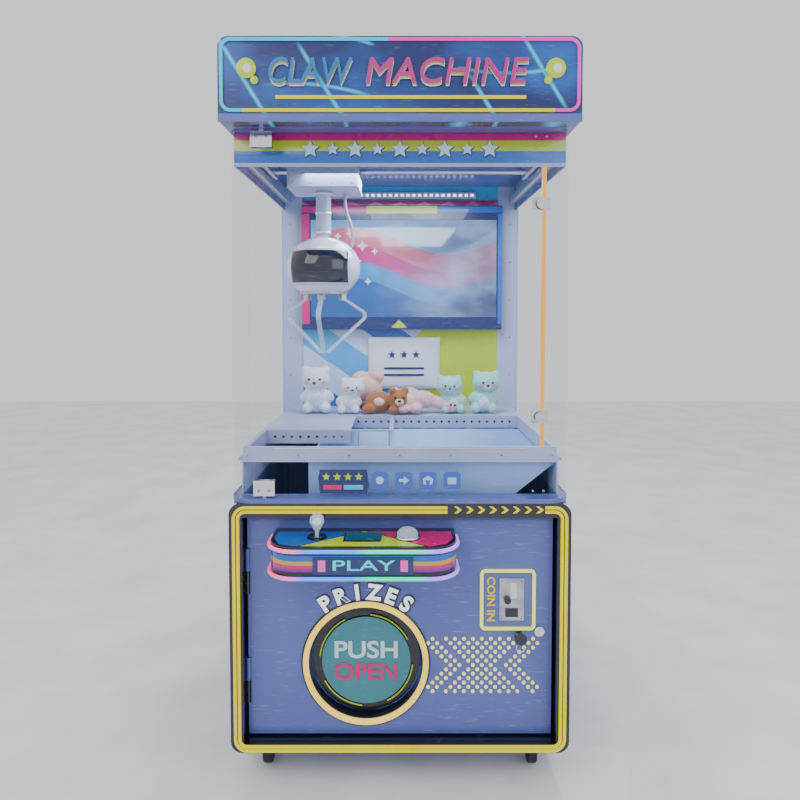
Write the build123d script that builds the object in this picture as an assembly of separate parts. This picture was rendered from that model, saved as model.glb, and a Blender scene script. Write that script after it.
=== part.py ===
from build123d import *
import os
from math import sqrt

os.makedirs("parts", exist_ok=True)

# All sizes in millimetres. +Z is up, the player stands on the -Y side, and the
# origin is on the floor under the middle of the machine.

# Overall sizes of the cabinet
WIDTH = 880.0
BODY_DEPTH = 830.0
CONSOLE_REACH = 116.0
BASE_BOTTOM = 88.0
BASE_TOP = 745.0
ROOF_BOTTOM = 1698.0
MARQUEE_HEIGHT = 186.0
MARQUEE_REACH = 55.0
MARQUEE_DEPTH = 150.0

# Sheets, walls and clearances
PANEL = 18.0
SHEET = 4.0
SILL = 12.0
ROOF = 14.0
ACRYLIC = 5.0
GLASS = 6.0
GAP = 0.3
DOOR_GAP = 6.0
RUNNING = 0.05

# Front surround and its door
SURROUND_DEPTH = 60.0
SURROUND_SIDE = 34.0
SURROUND_FOOT = 24.0
SURROUND_HEAD = 37.0
SURROUND_CORNER = 30.0
DOOR_RECESS = 35.0
DOOR_FIELD = 2.0
TUBE_R = 4.5
TUBE_INSET = 13.5
TUBE_PITCH = 11.0
HINGE_R = 5.5
HINGE_PIN_R = 3.0
HINGE_KNUCKLE = 60.0

# Prize opening
PRIZE_X = -90.0
PRIZE_Z = 311.0
PRIZE_RING_R = 158.0
PRIZE_RING_TUBE = 8.5
SLEEVE_BORE = 149.0
SLEEVE_WALL = 2.0
SLEEVE_DEPTH = 31.0
FLAP_R = 143.0
FLAP = 4.0
FLAP_RECESS = 25.0
FLAP_AXIS_RISE = 134.0
FLAP_BARREL_R = 6.0
FLAP_PIN_R = 3.0

# Control console
CONSOLE_X0 = -322.0
CONSOLE_X1 = 140.0
CONSOLE_DROP = 74.0
CONSOLE_HEIGHT = 80.0
CONSOLE_CORNER = 70.0
CONSOLE_WALL = 3.0
CONSOLE_TUBE_R = 5.0
CONTROL_DEPTH = -40.0
JOYSTICK_X = -208.0
JOYSTICK_R = 5.0
JOYSTICK_PIVOT_DROP = 21.0
JOYSTICK_REACH = 34.0
KNOB_R = 18.5
KNOB_HEIGHT = 40.0
STICK_HOLE_R = 11.0
BUTTON_X = 19.0
BUTTON_R = 26.0
BUTTON_RISE = 20.0
BUTTON_TRAVEL = 4.0
BEZEL_R = 31.0
BEZEL = 5.0
CREDIT_WIDTH = 92.0
CREDIT_DEPTH = 65.0
CREDIT_X = -94.0

# Coin acceptor, lock and key
COIN_INSET = 107.0
COIN_Z = 482.0
COIN_WIDTH = 64.0
COIN_HEIGHT = 112.0
COIN_PLATE = 3.0
COIN_BODY_DEPTH = 110.0
COIN_FRAME_SHIFT = 10.5
COIN_FRAME_WIDTH = 137.0
COIN_FRAME_HEIGHT = 154.0
COIN_LEVER_R = 9.0
LOCK_INSET = 34.0
LOCK_Z = 397.0
LOCK_R = 13.0
KEY_INSET = 87.0
KEY_Z = 388.0
KEY_BARREL_R = 8.0
KEY_BOW_R = 16.0
CAM_REACH = 52.0
CAM_WIDTH = 18.0

# Glass door over the play space
PANE_MARGIN = 58.0
PANE_SETBACK = 14.0
PANE_CLEAR = 5.0
CORNER_R = 60.0
CORNER_LAP = 54.0
PIVOT_INSET = 32.0
PATCH_WIDTH = 55.0
PATCH_HEIGHT = 40.0
PATCH_LAP = 5.0
PIVOT_R = 5.0

# Deck, shelf, hopper and chute
DECK_RISE = 124.0
DECK_RIM = 40.0
RAIL_FRONT = 50.0
RAIL = 12.0
DECK_MARGIN = 28.0
REAR_DECK_DEPTH = 263.0
SHELF_FRONT = 296.0
SHELF_X1 = -149.0
BAR_X1 = -20.0
BACK_WALL_INSET = 30.0
BACK_WALL = 12.0
CHUTE_HALF = 151.0
CHUTE_BACK = 300.0
CHUTE_DROP = 185.0
CHUTE_WALL = 3.0
COLUMN_WIDTH = 76.0

# Display
DISPLAY_LEFT = 79.0
DISPLAY_RIGHT = 66.0
DISPLAY_FOOT = 528.0
DISPLAY_HEAD = 74.0
DISPLAY_DEPTH = 36.0

# Inner header boards
HEADER_HEIGHT = 86.0
HEADER_SETBACK = 60.0
HEADER_BOARD = 4.0
HEADER_MARGIN = 10.0

# Gantry
RAIL_BAR = 24.0
RAIL_DROP = 40.0
RAIL_MARGIN = 24.0
WHEEL_R = 14.0
WHEEL_WIDTH = 10.0
AXLE_R = 4.0
CLAW_X = -230.0
CLAW_DEPTH = 330.0
ROD_R = 8.0
ROD_SPREAD = 70.0
ROD_DROP = 28.0
END_PLATE_DEPTH = 220.0
END_PLATE = 12.0
END_PLATE_MARGIN = 42.0
AXLE_SPREAD = 98.0
CARRIAGE_WIDTH = 207.0
CARRIAGE_DEPTH = 180.0
CARRIAGE_DROP = 46.0
CARRIAGE_HEIGHT = 56.0
MAST_R = 22.5
MAST_WALL = 3.0
MAST_DROP = 232.0

# Claw
HEAD_R = 110.0
HEAD_HALF_HEIGHT = 93.5
HEAD_DROP = 330.5
HEAD_WALL = 3.0
HEAD_CUT = 71.5
HUB = 6.0
FINGER_HINGE_R = 62.0
FINGER_HINGE_DROP = 89.5
FINGER_ELBOW_R = 150.0
FINGER_ELBOW_DROP = 141.5
FINGER_TIP_R = 11.0
FINGER_TIP_DROP = 254.5
FINGER_WIDTH = 13.0
FINGER = 6.0
FINGER_PIN_R = 2.5
CONDUIT_R = 5.5

# Casters
CASTER_MARGIN = 80.0
CASTER_FRONT = 80.0
CASTER_REAR_INSET = 70.0
CASTER_WHEEL_R = 37.0
CASTER_WHEEL_WIDTH = 24.0
CASTER_TRAIL = 20.0
CASTER_PLATE = 6.0
CASTER_AXLE_R = 5.0

# Levels and places that follow from the sizes above
HALF = WIDTH / 2
FRONT = (CONSOLE_REACH - BODY_DEPTH) / 2
BACK = FRONT + BODY_DEPTH
SILL_TOP = BASE_TOP + SILL
ROOF_TOP = ROOF_BOTTOM + ROOF
DOOR_HALF = HALF - SURROUND_SIDE - DOOR_GAP
CONSOLE_TOP = BASE_TOP - CONSOLE_DROP
COIN_X = DOOR_HALF - COIN_INSET
COIN_FRAME_X = COIN_X - COIN_FRAME_SHIFT
LOCK_X = DOOR_HALF - LOCK_INSET
KEY_X = DOOR_HALF - KEY_INSET
PANE_HALF = HALF - PANE_MARGIN
DECK_TOP = SILL_TOP + DECK_RISE
DECK_HALF = HALF - DECK_MARGIN
REAR_DECK_FRONT = BODY_DEPTH - REAR_DECK_DEPTH
BACK_WALL_FRONT = BODY_DEPTH - BACK_WALL_INSET
CHUTE_TOP = BASE_TOP - CHUTE_DROP
DISPLAY_X0 = DISPLAY_LEFT - HALF
DISPLAY_X1 = HALF - DISPLAY_RIGHT
DISPLAY_Z0 = ROOF_BOTTOM - DISPLAY_FOOT
DISPLAY_Z1 = ROOF_BOTTOM - DISPLAY_HEAD
HEADER_HALF = HALF - HEADER_MARGIN
RAIL_TOP = ROOF_BOTTOM - RAIL_DROP
RAIL_HALF = HALF - RAIL_MARGIN
ROD_Z = ROOF_BOTTOM - ROD_DROP
END_PLATE_X = HALF - END_PLATE_MARGIN
CARRIAGE_TOP = ROOF_BOTTOM - CARRIAGE_DROP
CARRIAGE_BOTTOM = CARRIAGE_TOP - CARRIAGE_HEIGHT
MAST_BOTTOM = ROOF_BOTTOM - MAST_DROP
HEAD_Z = ROOF_BOTTOM - HEAD_DROP
HEAD_CUT_Z = HEAD_Z - HEAD_CUT
FINGER_HINGE_Z = HEAD_Z - FINGER_HINGE_DROP
FINGER_ELBOW_Z = HEAD_Z - FINGER_ELBOW_DROP
FINGER_TIP_Z = HEAD_Z - FINGER_TIP_DROP
CASTER_X = HALF - CASTER_MARGIN
CASTER_REAR = BODY_DEPTH - CASTER_REAR_INSET
DOOR_Z0 = BASE_BOTTOM + SURROUND_FOOT + DOOR_GAP
DOOR_Z1 = BASE_TOP - SURROUND_HEAD - DOOR_GAP
DOOR_FACE = FRONT + DOOR_RECESS
DOOR_BACK = DOOR_FACE + PANEL
PANE_Y = FRONT + PANE_SETBACK
PANE_Z0 = SILL_TOP + PANE_CLEAR
PANE_Z1 = ROOF_BOTTOM - 8.0
DECK_FLOOR = DECK_TOP - SHEET
CLAW_Y = FRONT + CLAW_DEPTH
CONTROL_Y = FRONT + CONTROL_DEPTH
CONSOLE_FRONT = FRONT - CONSOLE_REACH + CONSOLE_TUBE_R
JOYSTICK_PIVOT_Z = CONSOLE_TOP - JOYSTICK_PIVOT_DROP
FLAP_Y = DOOR_FACE + FLAP_RECESS
FLAP_AXIS_Z = PRIZE_Z + FLAP_AXIS_RISE
CASTER_FORK_TOP = BASE_BOTTOM - CASTER_PLATE


def block(x0, x1, y0, y1, z0, z1):
    """A plain block between two corners."""
    return Pos((x0 + x1) / 2, (y0 + y1) / 2, (z0 + z1) / 2) * Box(x1 - x0, y1 - y0, z1 - z0)


def post(radius, x, y, z0, z1):
    """An upright cylinder."""
    return Pos(x, y, (z0 + z1) / 2) * Cylinder(radius, z1 - z0)


def bar_x(radius, x0, x1, y, z):
    """A cylinder that runs from left to right."""
    return Pos((x0 + x1) / 2, y, z) * Rot(0, 90, 0) * Cylinder(radius, x1 - x0)


def bar_y(radius, x, y0, y1, z):
    """A cylinder that runs from front to back."""
    return Pos(x, (y0 + y1) / 2, z) * Rot(90, 0, 0) * Cylinder(radius, y1 - y0)


def prism_xz(points, y0, y1):
    """A flat outline in X and Z, thick from y0 to y1."""
    outline = Plane.XZ.offset(-y1) * Polygon(*points, align=None)
    return extrude(outline, y1 - y0, dir=(0, -1, 0))


def prism_yz(points, x0, x1):
    """A flat outline in Y and Z, thick from x0 to x1."""
    outline = Plane.YZ.offset(x0) * Polygon(*points, align=None)
    return extrude(outline, x1 - x0, dir=(1, 0, 0))


def save(name, *solids):
    """Write one piece, or one group of like pieces, to its own file."""
    shapes = [solid for item in solids for solid in item.solids()]
    shape = shapes[0] if len(shapes) == 1 else Compound(children=shapes)
    export_step(shape, f"parts/{name}.step")


def tube_loop(radius, half, z0, z1, corner, x, y):
    """A closed loop of light tube round a rounded rectangle in the XZ plane."""
    outline = RectangleRounded(2 * half, z1 - z0, corner)
    path = Plane((x, y, (z0 + z1) / 2), x_dir=(1, 0, 0), z_dir=(0, -1, 0)) * outline.wire()
    section = Plane(path @ 0, z_dir=path % 0) * Circle(radius)
    return sweep(section, path)


# ---- Base ----

def base_panels():
    """Floor, sides and back of the base, behind the front surround."""
    y0 = FRONT + SURROUND_DEPTH
    inner = HALF - PANEL
    save("base_floor", block(-inner, inner, y0, BACK - PANEL, BASE_BOTTOM, BASE_BOTTOM + PANEL))
    save("base_side_left", block(-HALF, -inner, y0, BACK, BASE_BOTTOM, BASE_TOP))
    save("base_side_right", block(inner, HALF, y0, BACK, BASE_BOTTOM, BASE_TOP))
    save("base_back_panel", block(-inner, inner, BACK - PANEL, BACK, BASE_BOTTOM, BASE_TOP))


def base_sill():
    """The flat ring on top of the base that carries the glass."""
    ring = block(-HALF, HALF, FRONT, BACK, BASE_TOP, SILL_TOP)
    front_edges = ring.edges().filter_by(Axis.Z).group_by(Axis.Y)[0]
    ring = fillet(front_edges, CORNER_R)
    opening = block(-DECK_HALF, DECK_HALF, FRONT + RAIL_FRONT, BACK - RAIL_FRONT, BASE_TOP, SILL_TOP)
    pivot = post(PIVOT_R, -PANE_HALF + PIVOT_INSET, PANE_Y + GLASS / 2, SILL_TOP, SILL_TOP + 2 * PANE_CLEAR)
    save("base_sill", ring - opening + pivot)


def front_surround():
    """The moulded frame round the base door, with the door's fixed hinge knuckles."""
    outer = block(-HALF, HALF, FRONT, FRONT + SURROUND_DEPTH, BASE_BOTTOM, BASE_TOP)
    outer = fillet(outer.edges().filter_by(Axis.Y), SURROUND_CORNER)
    x1 = HALF - SURROUND_SIDE
    foot = BASE_BOTTOM + SURROUND_FOOT
    head = BASE_TOP - SURROUND_HEAD
    opening = block(-x1, x1, FRONT, FRONT + SURROUND_DEPTH, foot, head)
    frame = outer - opening
    for z0 in hinge_heights():
        knuckle = post(HINGE_R, -DOOR_HALF, DOOR_FACE, z0 - HINGE_KNUCKLE - GAP, z0 - GAP)
        leaf = block(-x1, -DOOR_HALF, DOOR_FACE, DOOR_FACE + HINGE_R, z0 - HINGE_KNUCKLE - GAP, z0 - GAP)
        pin = post(HINGE_PIN_R, -DOOR_HALF, DOOR_FACE, z0 - GAP, z0 + HINGE_KNUCKLE)
        frame += knuckle + leaf + pin
    save("front_surround", frame)


def hinge_heights():
    """The level of each base door hinge's joint between its two knuckles."""
    third = (DOOR_Z1 - DOOR_Z0) / 4
    return [DOOR_Z0 + third, DOOR_Z1 - third]


def hopper_and_chute():
    """The sloping funnel under the drop zone and the chute behind the prize flap."""
    y0 = FRONT + SURROUND_DEPTH + RAIL
    y1 = FRONT + REAR_DECK_FRONT - GAP
    x0 = PRIZE_X - CHUTE_HALF
    x1 = DECK_HALF - GAP
    z1 = DECK_TOP - DECK_RIM - GAP
    throat_x = PRIZE_X + CHUTE_HALF
    throat_y = FRONT + CHUTE_BACK
    wall = CHUTE_WALL
    under_right = prism_xz([(x1 + wall, z1), (throat_x, CHUTE_TOP), (throat_x, 0), (x1 + wall, 0)], y0, y1)
    right_profile = [
        (x1, z1),
        (x1, z1 - 2 * wall),
        (throat_x, CHUTE_TOP - 2 * wall),
        (throat_x, CHUTE_TOP),
    ]
    right_body = prism_xz(right_profile, y0, y1)
    back_body = prism_yz(
        [(y1, z1), (y1, z1 - 2 * wall), (throat_y, CHUTE_TOP - 2 * wall), (throat_y, CHUTE_TOP)], x0, x1)
    left = block(x0 - wall, x0, y0, y1, CHUTE_TOP, z1)
    front = block(x0, x1, y0, y0 + wall, CHUTE_TOP, z1) - under_right
    save("prize_hopper", right_body + (back_body - under_right) + left + front)

    y0 = FRONT + SURROUND_DEPTH + SLEEVE_DEPTH
    z1 = CHUTE_TOP - 2 * wall - GAP
    side_left = block(x0 - wall, x0, y0, throat_y, BASE_BOTTOM + PANEL, z1)
    side_right = block(throat_x, throat_x + wall, y0, throat_y, BASE_BOTTOM + PANEL, z1)
    back = block(x0 - wall, throat_x + wall, throat_y, throat_y + wall, BASE_BOTTOM + PANEL, z1)
    floor_z = PRIZE_Z - SLEEVE_BORE - 12
    floor = prism_yz(
        [(y0, floor_z), (throat_y, floor_z + 50), (throat_y, floor_z + 50 - wall), (y0, floor_z - wall)],
        x0, throat_x)
    save("prize_chute", side_left + side_right + back + floor)


def inside_the_base():
    """The control electronics, which are a power supply and a board, and the cash box."""
    z0 = BASE_BOTTOM + PANEL
    supply = block(-380, -280, BACK - 220, BACK - 60, z0, z0 + 60)
    outlet = block(-345, -315, BACK - 222, BACK - 220, z0 + 20, z0 + 40)
    supply -= outlet.moved(Location((0, SHEET, 0)))
    x_wall = -HALF + PANEL
    board = block(x_wall + 10, x_wall + 12, FRONT + 420, FRONT + 620, z0 + 180, z0 + 330)
    for y in (FRONT + 430, FRONT + 610):
        for z in (z0 + 190, z0 + 320):
            board += bar_x(3, x_wall, x_wall + 10, y, z)
    save("control_electronics", supply, board)
    box = block(190, 370, FRONT + 170, FRONT + 400, z0, z0 + 200)
    hollow = block(190 + SHEET, 370 - SHEET, FRONT + 170 + SHEET, FRONT + 400 - SHEET, z0 + SHEET, z0 + 200)
    save("cash_box", box - hollow)


# ---- Play space ----

def deck():
    """Deck rails, the rear deck and the side shelf."""
    y0 = FRONT + RAIL_FRONT
    rear = FRONT + REAR_DECK_FRONT
    y1 = FRONT + BACK_WALL_FRONT - GAP
    z0 = DECK_TOP - DECK_RIM
    front_rail = block(-DECK_HALF, DECK_HALF, y0, y0 + RAIL, z0, DECK_TOP)
    left_rail = block(-DECK_HALF, -DECK_HALF + RAIL, y0 + RAIL, y1, z0, DECK_TOP)
    right_rail = block(DECK_HALF - RAIL, DECK_HALF, y0 + RAIL, y1, z0, DECK_TOP)
    frame = front_rail + left_rail + right_rail
    side_left = block(-HALF + ACRYLIC + 4, -DECK_HALF, y0 + 2 * RAIL, y1, z0, z0 + 6)
    side_right = block(DECK_HALF, HALF - ACRYLIC - 4, y0 + 2 * RAIL, y1, z0, z0 + 6)
    skirt_left = block(-DECK_HALF - SHEET, -DECK_HALF, y0, y1, SILL_TOP, z0 + 6)
    skirt_right = block(DECK_HALF, DECK_HALF + SHEET, y0, y1, SILL_TOP, z0 + 6)
    save("deck_rails", frame + side_left + side_right + skirt_left + skirt_right)

    inner = DECK_HALF - RAIL - GAP
    plate = block(-inner, inner, rear, y1, DECK_FLOOR, DECK_TOP)
    rim = block(-inner, inner, rear, rear + SHEET, z0, DECK_FLOOR)
    for i in range(30):
        x = -inner + (i + 1) * 2 * inner / 31
        rim -= bar_y(4, x, rear, rear + SHEET, z0 + DECK_RIM / 2)
    save("rear_deck", plate + rim)

    shelf = block(-inner, SHELF_X1, FRONT + SHELF_FRONT, rear - GAP, DECK_FLOOR, DECK_TOP)
    shelf += block(-inner, SHELF_X1, FRONT + SHELF_FRONT, FRONT + SHELF_FRONT + SHEET, z0, DECK_FLOOR)
    for i in range(9):
        x = -inner + (i + 1) * (SHELF_X1 + inner) / 10
        shelf -= bar_y(4, x, FRONT + SHELF_FRONT, FRONT + SHELF_FRONT + SHEET, z0 + DECK_RIM / 2)
    ledge = block(SHELF_X1, BAR_X1, FRONT + SHELF_FRONT, FRONT + SHELF_FRONT + RAIL, DECK_FLOOR, DECK_TOP)
    stay = block(BAR_X1 - RAIL, BAR_X1, FRONT + SHELF_FRONT + RAIL, rear - GAP, DECK_FLOOR, DECK_TOP)
    save("side_shelf", shelf + ledge + stay)


def back_of_cabin():
    """The rear columns, the back wall and the display on it."""
    y0 = FRONT + BACK_WALL_FRONT
    columns = [block(x0, x0 + COLUMN_WIDTH, y0, BACK, SILL_TOP, ROOF_BOTTOM)
               for x0 in (-HALF, HALF - COLUMN_WIDTH)]
    save("rear_columns", *columns)
    inner = HALF - COLUMN_WIDTH
    save("back_wall", block(-inner, inner, y0, y0 + BACK_WALL, SILL_TOP, ROOF_BOTTOM))
    case = block(DISPLAY_X0, DISPLAY_X1, y0 - DISPLAY_DEPTH, y0, DISPLAY_Z0, DISPLAY_Z1)
    screen = block(DISPLAY_X0 + 33, DISPLAY_X1 - 19, y0 - DISPLAY_DEPTH, y0 - DISPLAY_DEPTH + 6,
                   DISPLAY_Z0 + 45, DISPLAY_Z1 - 52)
    save("display_panel", case - screen)


def side_glass(side, name):
    """One bent acrylic side that wraps round the front corner."""
    outer = HALF - 2.0
    y0 = PANE_Y
    y1 = FRONT + BACK_WALL_FRONT - GAP
    lap_x = outer - CORNER_LAP
    bend = CORNER_LAP - 4
    whole = Polygon((lap_x, y0), (outer, y0), (outer, y1), (lap_x, y1), align=None)
    cut = Polygon((lap_x - 1, y0 + ACRYLIC), (outer - ACRYLIC, y0 + ACRYLIC), (outer - ACRYLIC, y1 + 1),
                  (lap_x - 1, y1 + 1), align=None)
    whole = fillet(whole.vertices().sort_by_distance((outer, y0))[0], bend)
    cut = fillet(cut.vertices().sort_by_distance((outer, y0))[0], bend - ACRYLIC)
    solid = extrude(Plane.XY.offset(SILL_TOP) * (whole - cut), ROOF_BOTTOM - SILL_TOP)
    save(name, solid if side > 0 else mirror(solid, about=Plane.YZ))


def header_boards():
    """The printed boards under the roof, across the front and along both sides."""
    y0 = FRONT + HEADER_SETBACK
    z0 = ROOF_BOTTOM - HEADER_HEIGHT
    x1 = HEADER_HALF
    front = block(-x1, x1, y0, y0 + HEADER_BOARD, z0, ROOF_BOTTOM)
    sides = [block(x, x + HEADER_BOARD, y0 + HEADER_BOARD, FRONT + BACK_WALL_FRONT, z0, ROOF_BOTTOM)
             for x in (-x1, x1 - HEADER_BOARD)]
    save("header_boards", front + sides[0] + sides[1])


def roof_and_marquee():
    """The roof panel with the glass door's top pivot, and the light box above it."""
    pivot_x = -PANE_HALF + PIVOT_INSET
    roof = block(-HALF, HALF, FRONT, BACK, ROOF_BOTTOM, ROOF_TOP)
    roof += post(PIVOT_R, pivot_x, PANE_Y + GLASS / 2, ROOF_BOTTOM - 16, ROOF_BOTTOM)
    save("roof_panel", roof)
    y0 = FRONT - MARQUEE_REACH
    y1 = y0 + MARQUEE_DEPTH
    z1 = ROOF_TOP + MARQUEE_HEIGHT
    box = block(-HALF, HALF, y0, y1, ROOF_TOP, z1)
    box += block(-HALF, HALF, y0, FRONT, ROOF_BOTTOM, ROOF_TOP)
    box = fillet(box.edges().filter_by(Axis.Y).group_by(Axis.Z)[-1], 26.0)
    hollow = block(-HALF + PANEL, HALF - PANEL, y0 + PANEL, y1 - PANEL, ROOF_TOP, z1 - PANEL)
    save("marquee_box", box - hollow)


def gantry_rails():
    """The two rails that the bridge rolls on, each hung from the roof by brackets."""
    y0 = FRONT + HEADER_SETBACK + HEADER_BOARD + GAP
    y1 = FRONT + BACK_WALL_FRONT - DISPLAY_DEPTH
    rails = []
    for side in (-1, 1):
        x0, x1 = sorted((side * (RAIL_HALF - RAIL_BAR / 2), side * (HEADER_HALF - HEADER_BOARD - GAP)))
        rail = block(x0, x1, y0, y1, RAIL_TOP - RAIL_BAR, RAIL_TOP)
        outer = HEADER_HALF - HEADER_BOARD - GAP
        xh0, xh1 = sorted((side * (outer - 3), side * outer))
        rail += block(xh0, xh1, y0, y1, RAIL_TOP, ROOF_BOTTOM)
        rails.append(rail)
    save("gantry_rails", *rails)


def cabinet_lights():
    """Neon tubes on the surround and marquee, the corner tube and the ceiling strip."""
    y = FRONT - TUBE_R
    loops = []
    for step in (0, 1):
        inset = TUBE_INSET + step * TUBE_PITCH
        loops.append(tube_loop(TUBE_R, HALF - inset, BASE_BOTTOM + inset - 5, BASE_TOP - inset + 4,
                               SURROUND_CORNER - step * TUBE_PITCH, 0, y))
    z0 = ROOF_TOP + 8
    z1 = ROOF_TOP + MARQUEE_HEIGHT - 8
    marquee = tube_loop(TUBE_R, HALF - 10, z0, z1, 20, 0, FRONT - MARQUEE_REACH - TUBE_R)
    corner_y = FRONT + RAIL_FRONT + RAIL / 2
    corner = post(6, DECK_HALF - 37, corner_y, DECK_TOP, ROOF_BOTTOM - HEADER_HEIGHT)
    strip_y = FRONT + BACK_WALL_FRONT - 16
    strip = block(-250, 260, strip_y, strip_y + 16, ROOF_BOTTOM - 40, ROOF_BOTTOM - 28)
    save("cabinet_light_tubes", *loops, marquee, corner, strip)


def plush(x, y, radius, height):
    """The plain body of one soft toy that sits on the rear deck."""
    body = Pos(x, y, DECK_TOP + GAP + height / 2) * Cylinder(radius, height)
    return fillet(body.edges(), min(radius, height / 2) * 0.6)


def plush_prizes():
    """Seven soft toys in a row on the rear deck."""
    y = FRONT + REAR_DECK_FRONT + 90
    places = [(-290, 0, 52, 165), (-178, -25, 48, 120), (-118, 68, 55, 150), (-52, -20, 52, 105),
              (70, -15, 58, 110), (190, 5, 52, 125), (295, 0, 50, 150)]
    save("plush_prizes", *[plush(x, y + dy, radius, height) for x, dy, radius, height in places])


# ---- Base door ----

def base_door():
    """The lavender door panel, with its raised field, openings and hinge knuckles."""
    door = block(-DOOR_HALF, DOOR_HALF, DOOR_FACE, DOOR_BACK, DOOR_Z0, DOOR_Z1)
    door += block(-DOOR_HALF + 9, DOOR_HALF - 9, DOOR_FACE - DOOR_FIELD, DOOR_FACE, DOOR_Z0 + 10, DOOR_Z1 - 8)
    face = DOOR_FACE - DOOR_FIELD
    door -= bar_y(SLEEVE_BORE + SLEEVE_WALL + GAP, PRIZE_X, face, DOOR_BACK, PRIZE_Z)
    door -= block(COIN_X - 27, COIN_X + 27, face, DOOR_BACK, COIN_Z - 48, COIN_Z + 48)
    door -= bar_y(LOCK_R - 3 + RUNNING, LOCK_X, face, DOOR_BACK, LOCK_Z)
    door -= bar_y(KEY_BARREL_R - 2 + RUNNING, KEY_X, face, DOOR_BACK, KEY_Z)
    for z0 in hinge_heights():
        relief = post(HINGE_R + 1, -DOOR_HALF, DOOR_FACE, z0 - HINGE_KNUCKLE - 1, z0 + HINGE_KNUCKLE + 1)
        door -= relief
        knuckle = post(HINGE_R, -DOOR_HALF, DOOR_FACE, z0 + GAP, z0 + HINGE_KNUCKLE)
        knuckle += block(-DOOR_HALF, -DOOR_HALF + 2 * HINGE_R, DOOR_FACE, DOOR_FACE + HINGE_R,
                         z0 + GAP, z0 + HINGE_KNUCKLE)
        door += knuckle
        door -= post(HINGE_PIN_R + RUNNING, -DOOR_HALF, DOOR_FACE, z0, z0 + HINGE_KNUCKLE + 1)
    save("base_door_panel", door)

    y0 = DOOR_FACE - DOOR_FIELD
    y1 = DOOR_FACE + SLEEVE_DEPTH - GAP
    sleeve = bar_y(SLEEVE_BORE + SLEEVE_WALL, PRIZE_X, y0, y1, PRIZE_Z)
    sleeve -= bar_y(SLEEVE_BORE, PRIZE_X, DOOR_FACE - DOOR_FIELD, DOOR_FACE + SLEEVE_DEPTH, PRIZE_Z)
    reach = sqrt(SLEEVE_BORE ** 2 - FLAP_AXIS_RISE ** 2) + 1
    pin = bar_x(FLAP_PIN_R, PRIZE_X - reach, PRIZE_X + reach, FLAP_Y, FLAP_AXIS_Z)
    save("prize_sleeve", sleeve + pin)


def prize_flap():
    """The round flap that swings inward from a pin across its top."""
    flap = bar_y(FLAP_R, PRIZE_X, FLAP_Y - FLAP / 2, FLAP_Y + FLAP / 2, PRIZE_Z)
    flap -= block(
        PRIZE_X - FLAP_R, PRIZE_X + FLAP_R,
        FLAP_Y - FLAP, FLAP_Y + FLAP,
        FLAP_AXIS_Z, FLAP_AXIS_Z + 50,
    )
    half = sqrt(FLAP_R ** 2 - FLAP_AXIS_RISE ** 2) - 8
    flap += bar_x(FLAP_BARREL_R, PRIZE_X - half, PRIZE_X + half, FLAP_Y, FLAP_AXIS_Z)
    flap -= bar_x(FLAP_PIN_R + RUNNING, PRIZE_X - FLAP_R, PRIZE_X + FLAP_R, FLAP_Y, FLAP_AXIS_Z)
    save("prize_flap", flap)


def console_outline(inset):
    """The console's plan, rounded at its two front corners."""
    x0 = CONSOLE_X0 + inset
    x1 = CONSOLE_X1 - inset
    y0 = CONSOLE_FRONT + inset
    y1 = DOOR_FACE - DOOR_FIELD
    plan = Polygon((x0, y0), (x1, y0), (x1, y1), (x0, y1), align=None)
    corners = plan.vertices().group_by(Axis.Y)[0]
    return fillet(corners, CONSOLE_CORNER - inset)


def console():
    """The console shell, its top plate, and the fixed parts of its controls."""
    z0 = CONSOLE_TOP - CONSOLE_HEIGHT
    top = CONSOLE_TOP - SHEET
    shell = extrude(Plane.XY.offset(z0) * console_outline(0), top - z0)
    hollow = extrude(Plane.XY.offset(z0 + CONSOLE_WALL) * console_outline(CONSOLE_WALL), top - z0)
    save("console_shell", shell - hollow)
    plate = extrude(Plane.XY.offset(top) * console_outline(0), SHEET)
    plate -= post(STICK_HOLE_R, JOYSTICK_X, CONTROL_Y, top, CONSOLE_TOP)
    plate -= post(BUTTON_R - 6 + RUNNING, BUTTON_X, CONTROL_Y, top, CONSOLE_TOP)
    bezel = post(BEZEL_R, BUTTON_X, CONTROL_Y, CONSOLE_TOP, CONSOLE_TOP + BEZEL)
    bezel -= post(BUTTON_R + GAP, BUTTON_X, CONTROL_Y, CONSOLE_TOP, CONSOLE_TOP + BEZEL)
    washer = post(25, JOYSTICK_X, CONTROL_Y, CONSOLE_TOP, CONSOLE_TOP + 2)
    washer -= post(STICK_HOLE_R, JOYSTICK_X, CONTROL_Y, CONSOLE_TOP, CONSOLE_TOP + 2)
    window = block(CREDIT_X - CREDIT_WIDTH / 2, CREDIT_X + CREDIT_WIDTH / 2,
                   CONTROL_Y - CREDIT_DEPTH / 2, CONTROL_Y + CREDIT_DEPTH / 2, CONSOLE_TOP, CONSOLE_TOP + 3)
    save("console_top", plate + bezel + washer + window)

    base = JOYSTICK_PIVOT_Z - 7
    bracket = block(
        JOYSTICK_X - 32, JOYSTICK_X + 32,
        CONTROL_Y - 22, CONTROL_Y + 22,
        z0 + CONSOLE_WALL, z0 + 8,
    )
    for side in (-1, 1):
        x0, x1 = sorted((JOYSTICK_X + side * 22, JOYSTICK_X + side * 30))
        bracket += block(x0, x1, CONTROL_Y - 8, CONTROL_Y + 8, z0 + 8, base + 15)
    bracket -= bar_x(3 + RUNNING, JOYSTICK_X - 40, JOYSTICK_X + 40, CONTROL_Y, JOYSTICK_PIVOT_Z)
    save("joystick_bracket", bracket)


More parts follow.
